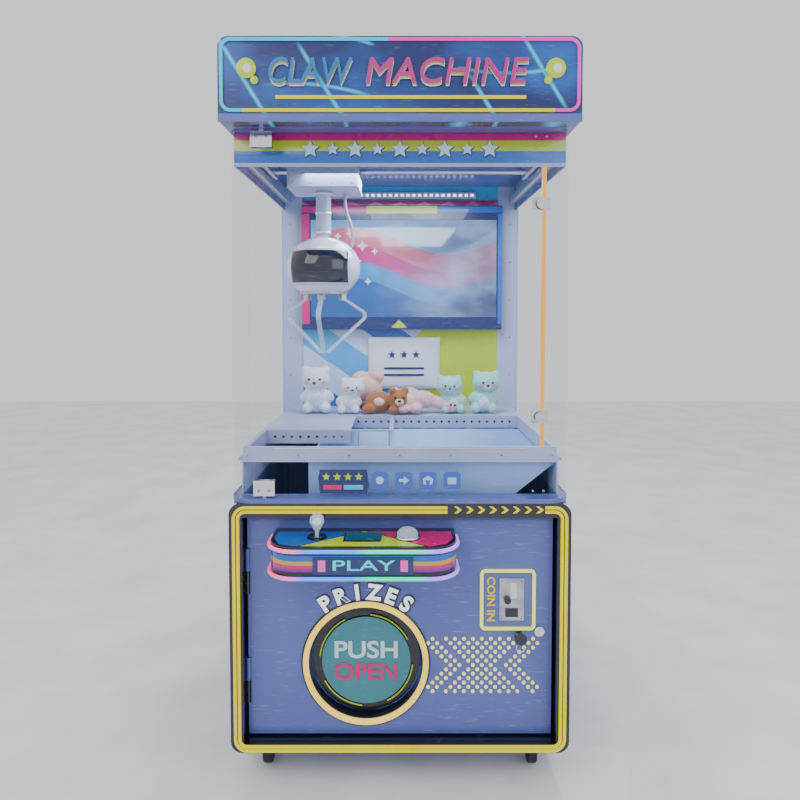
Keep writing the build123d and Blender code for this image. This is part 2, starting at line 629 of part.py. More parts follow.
def joystick():
    """The gimbal ring, tilting about X, and the stick with its knob, tilting about Y."""
    z = JOYSTICK_PIVOT_Z
    ring = post(20, JOYSTICK_X, CONTROL_Y, z - 5, z + 5) - post(14, JOYSTICK_X, CONTROL_Y, z - 5, z + 5)
    ring += bar_x(3, JOYSTICK_X - 30, JOYSTICK_X - 17, CONTROL_Y, z)
    ring += bar_x(3, JOYSTICK_X + 17, JOYSTICK_X + 30, CONTROL_Y, z)
    ring -= bar_y(2.5 + RUNNING, JOYSTICK_X, CONTROL_Y - 21, CONTROL_Y + 21, z)
    save("joystick_gimbal", ring)
    shaft_top = CONSOLE_TOP + JOYSTICK_REACH
    stick = post(JOYSTICK_R, JOYSTICK_X, CONTROL_Y, z - 30, shaft_top)
    stick += bar_y(2.5, JOYSTICK_X, CONTROL_Y - 20, CONTROL_Y + 20, z)
    shape = [(0, 0), (8, 0), (KNOB_R, 20), (KNOB_R * 0.9, 32), (9, KNOB_HEIGHT), (0, KNOB_HEIGHT)]
    profile = Polygon(*shape, align=None)
    knob = revolve(Plane.XZ * profile, Axis.Z)
    save("joystick", stick + Pos(JOYSTICK_X, CONTROL_Y, shaft_top - 14) * knob)


def dome_button():
    """The domed push button and its stem."""
    z0 = CONSOLE_TOP + GAP + BUTTON_TRAVEL
    dome = post(BUTTON_R, BUTTON_X, CONTROL_Y, z0, z0 + BUTTON_RISE)
    dome = fillet(dome.edges().group_by(Axis.Z)[-1], BUTTON_RISE * 0.8)
    stem = post(BUTTON_R - 6, BUTTON_X, CONTROL_Y, CONSOLE_TOP - 30, z0)
    save("dome_button", dome + stem)


def coin_unit():
    """The coin acceptor, its return button, the cam lock and the key."""
    face = DOOR_FACE - DOOR_FIELD
    plate = block(COIN_X - COIN_WIDTH / 2, COIN_X + COIN_WIDTH / 2, face - COIN_PLATE, face,
                  COIN_Z - COIN_HEIGHT / 2, COIN_Z + COIN_HEIGHT / 2)
    plate += block(COIN_X - 25, COIN_X + 25, face, DOOR_FACE + COIN_BODY_DEPTH, COIN_Z - 46, COIN_Z + 46)
    plate -= block(COIN_X + 4, COIN_X + 7, face - COIN_PLATE, face + 30, COIN_Z + 8, COIN_Z + 38)
    plate -= block(COIN_X - 16, COIN_X + 16, face - COIN_PLATE, face + 20, COIN_Z - 46, COIN_Z - 24)
    plate -= bar_y(COIN_LEVER_R - 4 + RUNNING, COIN_X - 12, face - COIN_PLATE, face + 20, COIN_Z)
    save("coin_acceptor", plate)
    plate_face = face - COIN_PLATE
    lever = bar_y(COIN_LEVER_R, COIN_X - 12, plate_face - 10, plate_face - BUTTON_TRAVEL - GAP, COIN_Z)
    lever += bar_y(COIN_LEVER_R - 4, COIN_X - 12, face - COIN_PLATE - 10, face + 14, COIN_Z)
    save("coin_return_button", lever)
    lock = bar_y(LOCK_R, LOCK_X, face - 6 - GAP, face - GAP, LOCK_Z)
    lock += bar_y(LOCK_R - 3, LOCK_X, face - 6, FRONT + SURROUND_DEPTH + 4, LOCK_Z)
    cam = block(LOCK_X - CAM_WIDTH / 2, LOCK_X + CAM_WIDTH / 2, FRONT + SURROUND_DEPTH + 1,
                FRONT + SURROUND_DEPTH + 4, LOCK_Z - CAM_REACH, LOCK_Z + LOCK_R - 3)
    save("door_lock", lock + cam)
    key = bar_y(KEY_BARREL_R, KEY_X, face - 4 - GAP, face - GAP, KEY_Z)
    key += bar_y(KEY_BARREL_R - 2, KEY_X, face - 4, DOOR_BACK + 10, KEY_Z)
    key += bar_y(2.5, KEY_X, face - 22, face - 4, KEY_Z)
    bow = Pos(KEY_X, 0, KEY_Z) * Rot(90, 0, 0) * Cylinder(KEY_BOW_R, 8)
    save("coin_key", key + Pos(0, face - 26, 0) * bow)


def door_lights():
    """The prize ring tube, the coin frame tube and the console's two edge tubes."""
    face = DOOR_FACE - DOOR_FIELD
    ring_place = Pos(PRIZE_X, face - PRIZE_RING_TUBE, PRIZE_Z) * Rot(90, 0, 0)
    ring = ring_place * Torus(PRIZE_RING_R, PRIZE_RING_TUBE)
    z0 = COIN_Z - COIN_FRAME_HEIGHT / 2
    z1 = COIN_Z + COIN_FRAME_HEIGHT / 2
    frame = tube_loop(TUBE_R, COIN_FRAME_WIDTH / 2, z0, z1, 8, COIN_FRAME_X, face - TUBE_R)
    edges = []
    z_low = CONSOLE_TOP - CONSOLE_HEIGHT + CONSOLE_TUBE_R
    for z in (z_low, CONSOLE_TOP - CONSOLE_TUBE_R):
        rail_plane = Plane.XY.offset(z - CONSOLE_TUBE_R + 1)
        rail = extrude(rail_plane * console_outline(-CONSOLE_TUBE_R), 2 * CONSOLE_TUBE_R - 2)
        rail -= extrude(Plane.XY.offset(z - CONSOLE_TUBE_R) * console_outline(0), 2 * CONSOLE_TUBE_R)
        edges.append(rail)
    save("door_light_tubes", ring, frame, *edges)


# ---- Glass door ----

def glass_door():
    """The front pane, and the patch fittings and lock brackets clamped to it."""
    y0 = PANE_Y
    y1 = PANE_Y + GLASS
    pane = block(-PANE_HALF, PANE_HALF, y0, y1, PANE_Z0, PANE_Z1)
    pivot_x = -PANE_HALF + PIVOT_INSET
    yc = (y0 + y1) / 2
    fittings = []
    for z0, z1, foot, tip in ((PANE_Z0, PANE_Z0 + PATCH_HEIGHT, SILL_TOP + 1, PANE_Z0),
                              (PANE_Z1 - PATCH_HEIGHT, PANE_Z1, PANE_Z1, ROOF_BOTTOM - 1)):
        pane -= block(pivot_x - 12, pivot_x + 12, y0, y1, z0, z1)
        patch = block(pivot_x - PATCH_WIDTH / 2, pivot_x + PATCH_WIDTH / 2, y0 - PATCH_LAP, y0, z0, z1)
        patch += block(pivot_x - PATCH_WIDTH / 2, pivot_x + PATCH_WIDTH / 2, y1, y1 + PATCH_LAP, z0, z1)
        patch += block(pivot_x - 12 + GAP, pivot_x + 12 - GAP, y0, y1, z0 + GAP, z1 - GAP)
        patch += post(7, pivot_x, yc, foot, tip + 1) if foot < z0 else post(7, pivot_x, yc, foot - 1, tip)
        patch -= post(PIVOT_R + RUNNING, pivot_x, yc, SILL_TOP, SILL_TOP + 2 * PANE_CLEAR + 1)
        patch -= post(PIVOT_R + RUNNING, pivot_x, yc, ROOF_BOTTOM - 17, ROOF_BOTTOM)
        fittings.append(patch)
    for z in (965.0, 1510.0):
        pane -= bar_y(10, PANE_HALF - 22, y0, y1, z)
        lock = bar_y(10 - GAP, PANE_HALF - 22, y0, y1, z)
        lock += bar_y(14, PANE_HALF - 22, y0 - 8, y0, z)
        lock += block(PANE_HALF - 44, PANE_HALF, y1, y1 + 4, z - 16, z + 16)
        fittings.append(lock)
    save("glass_door_pane", pane)
    save("glass_door_fittings", *fittings)


# ---- Gantry and claw ----

def bridge():
    """The bridge frame of two rods between end plates, and its two wheeled axles."""
    frame = Part()
    for side in (-1, 1):
        x0, x1 = sorted((side * END_PLATE_X, side * (END_PLATE_X - END_PLATE)))
        half_depth = END_PLATE_DEPTH / 2
        plate = block(x0, x1, CLAW_Y - half_depth, CLAW_Y + half_depth, ROD_Z - 16, ROD_Z + 20)
        frame += plate
    for side in (-1, 1):
        reach = END_PLATE_X - END_PLATE
        frame += bar_x(ROD_R, -reach, reach, CLAW_Y + side * ROD_SPREAD, ROD_Z)
    axle_z = RAIL_TOP + GAP + WHEEL_R
    for side, name in ((-1, "bridge_axle_front"), (1, "bridge_axle_rear")):
        y = CLAW_Y + side * AXLE_SPREAD
        frame -= bar_x(AXLE_R + RUNNING, -HALF, HALF, y, axle_z)
        axle = bar_x(AXLE_R, -RAIL_HALF - 6, RAIL_HALF + 6, y, axle_z)
        for x in (-RAIL_HALF, RAIL_HALF):
            x0, x1 = sorted((x - WHEEL_WIDTH / 2, x + WHEEL_WIDTH / 2))
            axle += bar_x(WHEEL_R, x0, x1, y, axle_z)
        save(name, axle)
    save("bridge_frame", frame)


def carriage():
    """The carriage housing with its bushes, the hoist motor and the fixed mast tube."""
    x0 = CLAW_X - CARRIAGE_WIDTH / 2 + 7
    x1 = CLAW_X + CARRIAGE_WIDTH / 2 + 7
    y0 = CLAW_Y - CARRIAGE_DEPTH / 2
    y1 = CLAW_Y + CARRIAGE_DEPTH / 2
    housing = block(x0, x1, y0, y1, CARRIAGE_BOTTOM, CARRIAGE_TOP)
    housing = fillet(housing.edges().filter_by(Axis.Z), 12)
    for side in (-1, 1):
        y = CLAW_Y + side * ROD_SPREAD
        housing += block(x0 + 14, x1 - 14, y - 14, y + 14, CARRIAGE_TOP, ROD_Z + 14)
    housing -= block(
        x0 + SHEET, x1 - SHEET,
        y0 + SHEET, y1 - SHEET,
        CARRIAGE_BOTTOM + SHEET, CARRIAGE_TOP - SHEET,
    )
    for side in (-1, 1):
        housing -= bar_x(ROD_R + RUNNING, x0, x1, CLAW_Y + side * ROD_SPREAD, ROD_Z)
    housing -= post(MAST_R, CLAW_X, CLAW_Y, CARRIAGE_BOTTOM, CARRIAGE_BOTTOM + SHEET)
    save("carriage_housing", housing)
    motor = bar_x(20, CLAW_X + 40, x1 - SHEET - 4, CLAW_Y, CARRIAGE_BOTTOM + SHEET + 22)
    tray = CARRIAGE_BOTTOM + SHEET
    motor += block(CLAW_X + 60, CLAW_X + 90, CLAW_Y - 16, CLAW_Y + 16, tray, tray + 20)
    save("hoist_motor", motor)
    outer = post(MAST_R, CLAW_X, CLAW_Y, MAST_BOTTOM, CARRIAGE_BOTTOM + SHEET)
    outer -= post(MAST_R - MAST_WALL, CLAW_X, CLAW_Y, MAST_BOTTOM, CARRIAGE_BOTTOM + SHEET)
    save("mast_outer", outer)
    mid_r = MAST_R - MAST_WALL - GAP
    middle = post(mid_r, CLAW_X, CLAW_Y, MAST_BOTTOM, CARRIAGE_BOTTOM - 4)
    middle -= post(mid_r - MAST_WALL, CLAW_X, CLAW_Y, MAST_BOTTOM, CARRIAGE_BOTTOM - 4)
    save("mast_middle", middle)


def claw_head():
    """The egg-shaped head with the inner mast tube, and the hub that carries the fingers."""
    neck_r = MAST_R - 2 * MAST_WALL - 2 * GAP
    egg = Sphere(1.0)
    outer = scale(egg, by=(HEAD_R, HEAD_R, HEAD_HALF_HEIGHT))
    inner = scale(egg, by=(HEAD_R - HEAD_WALL, HEAD_R - HEAD_WALL, HEAD_HALF_HEIGHT - HEAD_WALL))
    place = Pos(CLAW_X, CLAW_Y, HEAD_Z)
    shell = place * outer - place * inner
    shell -= block(CLAW_X - 200, CLAW_X + 200, CLAW_Y - 200, CLAW_Y + 200, HEAD_Z - 200, HEAD_CUT_Z)
    shell += post(neck_r, CLAW_X, CLAW_Y, HEAD_Z + HEAD_HALF_HEIGHT - HEAD_WALL, CARRIAGE_BOTTOM - 6)
    shell -= post(neck_r - MAST_WALL, CLAW_X, CLAW_Y, HEAD_Z, CARRIAGE_BOTTOM)
    save("claw_head_shell", shell)

    hub_z = HEAD_CUT_Z - GAP
    hub_r = HEAD_R * sqrt(1 - ((HEAD_Z - HEAD_CUT_Z) / HEAD_HALF_HEIGHT) ** 2)
    hub = post(hub_r, CLAW_X, CLAW_Y, hub_z - HUB, hub_z)
    hub += post(24, CLAW_X, CLAW_Y, hub_z, hub_z + 60)
    for turn in (0, 120, 240):
        lug = Part()
        for side in (-1, 1):
            y0, y1 = sorted((side * (FINGER_WIDTH / 2 + GAP), side * (FINGER_WIDTH / 2 + GAP + 4)))
            lug += block(FINGER_HINGE_R - 7, FINGER_HINGE_R + 7, y0, y1, FINGER_HINGE_Z - 7, hub_z - HUB)
        pin_end = FINGER_WIDTH / 2 + 4
        lug += bar_y(FINGER_PIN_R, FINGER_HINGE_R, -pin_end, pin_end, FINGER_HINGE_Z)
        hub += Pos(CLAW_X, CLAW_Y, 0) * Rot(0, 0, turn - 90) * lug
    save("claw_hub", hub)


def claw_finger(number):
    """One bent finger in its radial plane, with the bore for its hinge pin."""
    limb = FilletPolyline(
        (FINGER_HINGE_R, FINGER_HINGE_Z),
        (FINGER_ELBOW_R, FINGER_ELBOW_Z),
        (FINGER_TIP_R, FINGER_TIP_Z),
        radius=16,
    )
    blade = Plane.XZ * trace(limb, line_width=FINGER)
    finger = extrude(blade, FINGER_WIDTH / 2, dir=(0, 1, 0), both=True)
    finger += bar_y(6, FINGER_HINGE_R, -FINGER_WIDTH / 2, FINGER_WIDTH / 2, FINGER_HINGE_Z)
    finger -= bar_y(FINGER_PIN_R + RUNNING, FINGER_HINGE_R, -FINGER_WIDTH, FINGER_WIDTH, FINGER_HINGE_Z)
    turn = 120 * (number - 1) - 90
    save(f"claw_finger_{number}", Pos(CLAW_X, CLAW_Y, 0) * Rot(0, 0, turn) * finger)


def claw_conduit():
    """The corrugated conduit from the carriage down to the side of the head."""
    x = CLAW_X
    z1 = CARRIAGE_BOTTOM - GAP
    points = [(x + 62, CLAW_Y + 40, z1), (x + 62, CLAW_Y + 40, z1 - 50), (x + 86, CLAW_Y + 40, z1 - 105),
              (x + 82, CLAW_Y + 40, HEAD_Z + 66)]
    route = FilletPolyline(*points, radius=40)
    section = Plane(route @ 0, z_dir=route % 0) * Circle(CONDUIT_R)
    save("claw_conduit", sweep(section, route))


# ---- Casters ----

def caster_fork(x, y, direction):
    """A fork below its plate, trailing the wheel by its offset."""
    wheel_y = y + direction * CASTER_TRAIL
    gap = CASTER_WHEEL_WIDTH / 2 + GAP
    top = CASTER_FORK_TOP - GAP
    crown_z = 2 * CASTER_WHEEL_R + 2
    fork = block(x - gap - 3, x + gap + 3, min(y, wheel_y) - 14, max(y, wheel_y) + 14, crown_z, top)
    for side in (-1, 1):
        x0, x1 = sorted((x + side * gap, x + side * (gap + 3)))
        fork += block(x0, x1, wheel_y - 12, wheel_y + 12, CASTER_WHEEL_R - 10, crown_z)
    fork += bar_x(CASTER_AXLE_R, x - gap, x + gap, wheel_y, CASTER_WHEEL_R)
    return fork


def casters():
    """Two swivel casters in front, two rigid ones behind, and a wheel in each."""
    front_y = FRONT + CASTER_FRONT
    rear_y = FRONT + CASTER_REAR
    mounts = []
    for side, hand in ((-1, "left"), (1, "right")):
        x = side * CASTER_X
        plate = block(x - 32, x + 32, front_y - 32, front_y + 32, CASTER_FORK_TOP, BASE_BOTTOM)
        mounts.append(plate + post(5, x, front_y, CASTER_FORK_TOP - 5, CASTER_FORK_TOP))
        fork = caster_fork(x, front_y, 1)
        fork -= post(5 + RUNNING, x, front_y, CASTER_FORK_TOP - 5.3, CASTER_FORK_TOP)
        save(f"caster_fork_{hand}", fork)
        rear = block(x - 32, x + 32, rear_y - 32, rear_y + 32, CASTER_FORK_TOP - GAP, BASE_BOTTOM)
        mounts.append(rear + caster_fork(x, rear_y, -1))
        for end, y in (("front", front_y + CASTER_TRAIL), ("rear", rear_y - CASTER_TRAIL)):
            half_width = CASTER_WHEEL_WIDTH / 2
            wheel = bar_x(CASTER_WHEEL_R, x - half_width, x + half_width, y, CASTER_WHEEL_R)
            wheel = fillet(wheel.edges(), 4)
            wheel -= bar_x(CASTER_AXLE_R + RUNNING, x - 20, x + 20, y, CASTER_WHEEL_R)
            save(f"caster_wheel_{end}_{hand}", wheel)
    save("caster_mounts", *mounts)


base_panels()
base_sill()
front_surround()
hopper_and_chute()
inside_the_base()
deck()
back_of_cabin()
side_glass(1, "side_glass_right")
side_glass(-1, "side_glass_left")
header_boards()
roof_and_marquee()
gantry_rails()
cabinet_lights()
plush_prizes()
base_door()
prize_flap()
console()
joystick()
dome_button()
coin_unit()
door_lights()
glass_door()
bridge()
carriage()
claw_head()
for finger_number in (1, 2, 3):
    claw_finger(finger_number)
claw_conduit()
casters()
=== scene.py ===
"""Claw crane machine: the looks of the cabinet, its lights, prints, toys and stage."""

from math import cos, pi, radians, sin

import bpy
from mathutils import Matrix, Vector


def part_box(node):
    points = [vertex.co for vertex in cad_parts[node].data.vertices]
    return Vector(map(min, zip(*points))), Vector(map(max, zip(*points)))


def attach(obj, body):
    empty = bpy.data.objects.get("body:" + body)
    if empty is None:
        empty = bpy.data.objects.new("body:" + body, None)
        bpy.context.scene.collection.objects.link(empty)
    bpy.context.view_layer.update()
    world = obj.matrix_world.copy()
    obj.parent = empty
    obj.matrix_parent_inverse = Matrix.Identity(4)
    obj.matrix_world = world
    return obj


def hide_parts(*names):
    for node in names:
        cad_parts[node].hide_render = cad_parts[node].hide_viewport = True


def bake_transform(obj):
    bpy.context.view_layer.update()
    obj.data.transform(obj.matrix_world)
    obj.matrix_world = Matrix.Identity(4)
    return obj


bl_info = {
    "name": "Claw crane machine",
    "version": (1, 0, 0),
    "blender": (4, 5, 0),
    "location": "View3D > Sidebar > Crane",
    "description": "Dresses the claw crane's frame with lights, prints, soft toys and a stage",
    "category": "Object",
}

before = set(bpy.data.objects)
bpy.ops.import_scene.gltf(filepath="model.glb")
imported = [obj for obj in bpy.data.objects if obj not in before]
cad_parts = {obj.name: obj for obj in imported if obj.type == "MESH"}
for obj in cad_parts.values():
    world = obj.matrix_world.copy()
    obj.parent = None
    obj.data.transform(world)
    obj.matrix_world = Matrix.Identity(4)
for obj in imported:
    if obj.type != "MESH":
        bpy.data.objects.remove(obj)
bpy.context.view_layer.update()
MM = 0.001
PEARL = (0.60, 0.78, 0.86, 1)
SCREW_SEAT = 0.2 * MM


# ---- Places that come from the frame ----

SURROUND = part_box("front_surround")
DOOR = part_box("base_door_panel")
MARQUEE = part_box("marquee_box")
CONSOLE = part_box("console_shell")
CONSOLE_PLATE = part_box("console_top")
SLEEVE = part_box("prize_sleeve")
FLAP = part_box("prize_flap")
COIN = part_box("coin_acceptor")
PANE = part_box("glass_door_pane")
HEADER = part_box("header_boards")
BACK_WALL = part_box("back_wall")
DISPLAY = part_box("display_panel")
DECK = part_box("rear_deck")
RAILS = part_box("deck_rails")
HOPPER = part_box("prize_hopper")
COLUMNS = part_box("rear_columns")
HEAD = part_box("claw_head_shell")
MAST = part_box("mast_outer")
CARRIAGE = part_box("carriage_housing")
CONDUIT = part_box("claw_conduit")
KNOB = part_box("joystick")
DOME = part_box("dome_button")
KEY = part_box("coin_key")
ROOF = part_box("roof_panel")

FRONT_Y = SURROUND[0].y
DOOR_Y = DOOR[0].y + 3.5 * MM
FLAP_CENTRE = Vector(((SLEEVE[0].x + SLEEVE[1].x) / 2, FLAP[0].y + 4 * MM, (SLEEVE[0].z + SLEEVE[1].z) / 2))


# ---- Sizes and colours that a user would change ----

def length(name, description, default):
    """A length property in metres."""
    return bpy.props.FloatProperty(
        name=name, description=description, default=default, min=0.0, unit="LENGTH")


def colour(name, description, default):
    """An RGBA colour property."""
    return bpy.props.FloatVectorProperty(
        name=name, description=description, default=default, size=4, min=0.0, max=1.0, subtype="COLOR")


class CraneColours(bpy.types.PropertyGroup):
    """Colours of the cabinet and its lights."""
    body: colour("Body", "Powder coat of the cabinet", (0.10, 0.14, 0.46, 1))
    trim: colour("Trim", "Black moulding of the surround", (0.006, 0.007, 0.014, 1))
    white: colour("White steel", "White parts inside the play space", (0.40, 0.47, 0.70, 1))
    yellow: colour("Yellow light", "Neon of the surround", (0.95, 0.80, 0.0, 1))
    cyan: colour("Cyan light", "Neon at the marquee's left", (0.03, 0.75, 1.0, 1))
    pink: colour("Pink light", "Neon at the marquee's right", (1.0, 0.10, 0.62, 1))
    warm: colour("Warm light", "Prize ring and corner tube", (1.0, 0.72, 0.12, 1))
    magenta: colour("Magenta print", "Magenta of the prints", (0.60, 0.0, 0.17, 1))
    blue: colour("Blue print", "Blue of the prints", (0.0, 0.12, 0.55, 1))
    lime: colour("Lime print", "Yellow-green of the prints", (0.48, 0.64, 0.0, 1))


class CraneSizes(bpy.types.PropertyGroup):
    """Sizes of the dressed pieces."""
    tube: length("Tube", "Radius of the neon tubes", 4.2 * MM)
    dot: length("LED dot", "Radius of one LED dot of the arrows", 4.7 * MM)
    dot_step: length("LED step", "Distance between rows, and half the pitch in a row", 11.8 * MM)
    ring: length("Prize ring", "Radius of the glowing ring's centre line", 158.0 * MM)
    letters: length("Marquee letters", "Height of the marquee letters", 62.0 * MM)
    voxel: length("Plush voxel", "Voxel size of the toys' remesh", 5.0 * MM)
    camera_distance: length("Camera distance", "From the lens to the surround's face", 1.670)
    camera_height: length("Camera height", "From the floor to the lens", 1.2375)


def colours():
    """The scene's crane colours."""
    return bpy.context.scene.crane_colours


def sizes():
    """The scene's crane sizes."""
    return bpy.context.scene.crane_sizes


# ---- Shader node groups ----

def group_tree(name, inputs, outputs):
    """A new shader node group with the named sockets, and its input and output nodes."""
    tree = bpy.data.node_groups.new(name, "ShaderNodeTree")
    for label, kind, default in inputs:
        socket = tree.interface.new_socket(name=label, in_out="INPUT", socket_type=kind)
        if default is not None:
            socket.default_value = default
    for label, kind in outputs:
        tree.interface.new_socket(name=label, in_out="OUTPUT", socket_type=kind)
    return tree, tree.nodes.new("NodeGroupInput"), tree.nodes.new("NodeGroupOutput")


def noise(tree, vector, scale, detail=4.0, stretch=None):
    """A noise texture, its scale a number or a socket, stretched by a mapping if asked."""
    node = tree.nodes.new("ShaderNodeTexNoise")
    node.inputs["Detail"].default_value = detail
    if stretch:
        mapping = tree.nodes.new("ShaderNodeMapping")
        mapping.inputs["Scale"].default_value = stretch
        tree.links.new(vector, mapping.inputs["Vector"])
        vector = mapping.outputs["Vector"]
    tree.links.new(vector, node.inputs["Vector"])
    if isinstance(scale, (int, float)):
        node.inputs["Scale"].default_value = scale
    else:
        tree.links.new(scale, node.inputs["Scale"])
    return node.outputs["Fac"]


def spread(tree, value, low, high, to_low=0.0, to_high=1.0):
    """A clamped map range."""
    node = tree.nodes.new("ShaderNodeMapRange")
    for socket, number in zip(("From Min", "From Max", "To Min", "To Max"), (low, high, to_low, to_high)):
        node.inputs[socket].default_value = number
    tree.links.new(value, node.inputs["Value"])
    return node.outputs["Result"]


def calc(tree, operation, a, b=None):
    """A math node on two sockets or numbers."""
    node = tree.nodes.new("ShaderNodeMath")
    node.operation = operation
    for socket, value in zip(node.inputs, (a, b)):
        if value is None:
            continue
        if isinstance(value, (int, float)):
            socket.default_value = value
        else:
            tree.links.new(value, socket)
    return node.outputs["Value"]


def blend_colours(tree, factor, a, b, mode="MIX"):
    """A colour mix of sockets or RGBA values."""
    node = tree.nodes.new("ShaderNodeMix")
    node.data_type = "RGBA"
    node.blend_type = mode
    for socket, value in zip((node.inputs["Factor"], node.inputs[6], node.inputs[7]), (factor, a, b)):
        if isinstance(value, bpy.types.NodeSocket):
            tree.links.new(value, socket)
        else:
            socket.default_value = value
    return node.outputs[2]


def paint_group():
    """Powder coat or moulding: cloudy tone, orange peel, fine scratches and settled dust."""
    tree, given, out = group_tree(
        "Coated surface",
        [("Vector", "NodeSocketVector", None), ("Colour", "NodeSocketColor", (0.5, 0.5, 0.5, 1)),
         ("Worn", "NodeSocketColor", (0.7, 0.7, 0.7, 1)), ("Peel", "NodeSocketFloat", 900.0),
         ("Wear", "NodeSocketFloat", 0.2), ("Gloss", "NodeSocketFloat", 0.35)],
        [("Colour", "NodeSocketColor"), ("Roughness", "NodeSocketFloat"), ("Height", "NodeSocketFloat")])
    vector = given.outputs["Vector"]
    cloud = noise(tree, vector, 3.5, 3.0)
    peel = noise(tree, vector, given.outputs["Peel"], 2.0)
    scratch = noise(tree, vector, 26.0, 6.0, stretch=(1.0, 1.0, 14.0))
    smudge = noise(tree, vector, 11.0, 5.0)
    scratched = calc(tree, "MULTIPLY", spread(tree, scratch, 0.62, 0.72), given.outputs["Wear"])
    shade = blend_colours(tree, spread(tree, cloud, 0.3, 0.7, 0.0, 0.35), given.outputs["Colour"],
                          blend_colours(tree, 0.5, given.outputs["Colour"], (0.02, 0.03, 0.12, 1)))
    tone = blend_colours(tree, scratched, shade, given.outputs["Worn"])
    rough = calc(tree, "ADD", given.outputs["Gloss"], spread(tree, smudge, 0.35, 0.75, -0.06, 0.14))
    tree.links.new(tone, out.inputs["Colour"])
    tree.links.new(calc(tree, "ADD", rough, calc(tree, "MULTIPLY", scratched, 0.3)), out.inputs["Roughness"])
    tree.links.new(calc(tree, "SUBTRACT", peel, scratched), out.inputs["Height"])
    return tree


def metal_group():
    """Plated or brushed metal: long grain, tarnish and dull patches."""
    tree, given, out = group_tree(
        "Worked metal",
        [("Vector", "NodeSocketVector", None), ("Colour", "NodeSocketColor", (0.6, 0.6, 0.62, 1)),
         ("Grain", "NodeSocketFloat", 60.0), ("Tarnish", "NodeSocketFloat", 0.3),
         ("Gloss", "NodeSocketFloat", 0.25)],
        [("Colour", "NodeSocketColor"), ("Roughness", "NodeSocketFloat"), ("Height", "NodeSocketFloat")])
    vector = given.outputs["Vector"]
    grain = noise(tree, vector, given.outputs["Grain"], 5.0, stretch=(1.0, 1.0, 22.0))
    patch = noise(tree, vector, 18.0, 4.0)
    dull = calc(tree, "MULTIPLY", spread(tree, patch, 0.4, 0.7), given.outputs["Tarnish"])
    tone = blend_colours(tree, dull, given.outputs["Colour"], (0.16, 0.17, 0.21, 1))
    tree.links.new(tone, out.inputs["Colour"])
    rough = calc(tree, "ADD", given.outputs["Gloss"], spread(tree, grain, 0.3, 0.7, -0.05, 0.12))
    tree.links.new(calc(tree, "ADD", rough, calc(tree, "MULTIPLY", dull, 0.4)), out.inputs["Roughness"])
    tree.links.new(grain, out.inputs["Height"])
    return tree


def pile_group():
    """Short plush pile: clumped tufts, darkened between them by painted shade."""
    tree, given, out = group_tree(
        "Plush pile",
        [("Vector", "NodeSocketVector", None), ("Colour", "NodeSocketColor", (0.9, 0.85, 0.8, 1)),
         ("Tuft", "NodeSocketFloat", 260.0)],
        [("Colour", "NodeSocketColor"), ("Roughness", "NodeSocketFloat"), ("Height", "NodeSocketFloat")])
    vector = given.outputs["Vector"]
    tuft = noise(tree, vector, given.outputs["Tuft"], 3.0)
    clump = noise(tree, vector, 45.0, 4.0)
    # Painted shade: the pile colour darkened where the tufts part.
    shadow = blend_colours(tree, 1.0, given.outputs["Colour"], (0.62, 0.60, 0.66, 1), "MULTIPLY")
    mask = calc(tree, "MULTIPLY", spread(tree, tuft, 0.35, 0.65), spread(tree, clump, 0.25, 0.6, 0.55, 1.0))
    tree.links.new(blend_colours(tree, mask, shadow, given.outputs["Colour"]), out.inputs["Colour"])
    tree.links.new(spread(tree, tuft, 0.2, 0.8, 0.8, 0.98), out.inputs["Roughness"])
    tree.links.new(calc(tree, "ADD", tuft, clump), out.inputs["Height"])
    return tree


def glow_group():
    """Light behind a diffuser: the core's colour with soft bright and dim stretches."""
    tree, given, out = group_tree(
        "Diffused light",
        [("Vector", "NodeSocketVector", None), ("Colour", "NodeSocketColor", (1, 1, 1, 1)),
         ("Beads", "NodeSocketFloat", 90.0), ("Unevenness", "NodeSocketFloat", 0.3)],
        [("Colour", "NodeSocketColor"), ("Roughness", "NodeSocketFloat"), ("Height", "NodeSocketFloat")])
    vector = given.outputs["Vector"]
    beads = noise(tree, vector, given.outputs["Beads"], 1.0)
    slow = noise(tree, vector, 5.0, 2.0)
    dim = calc(
        tree, "MULTIPLY", spread(tree, calc(tree, "ADD", beads, slow), 0.8, 1.25),
        given.outputs["Unevenness"])
    deep = blend_colours(tree, 1.0, given.outputs["Colour"], (0.75, 0.62, 0.55, 1), "MULTIPLY")
    tree.links.new(blend_colours(tree, dim, given.outputs["Colour"], deep), out.inputs["Colour"])
    tree.links.new(spread(tree, beads, 0.3, 0.7, 0.25, 0.45), out.inputs["Roughness"])
    tree.links.new(beads, out.inputs["Height"])
    return tree


GROUP_MAKERS = {"paint": paint_group, "metal": metal_group, "pile": pile_group, "glow": glow_group}
groups = {}


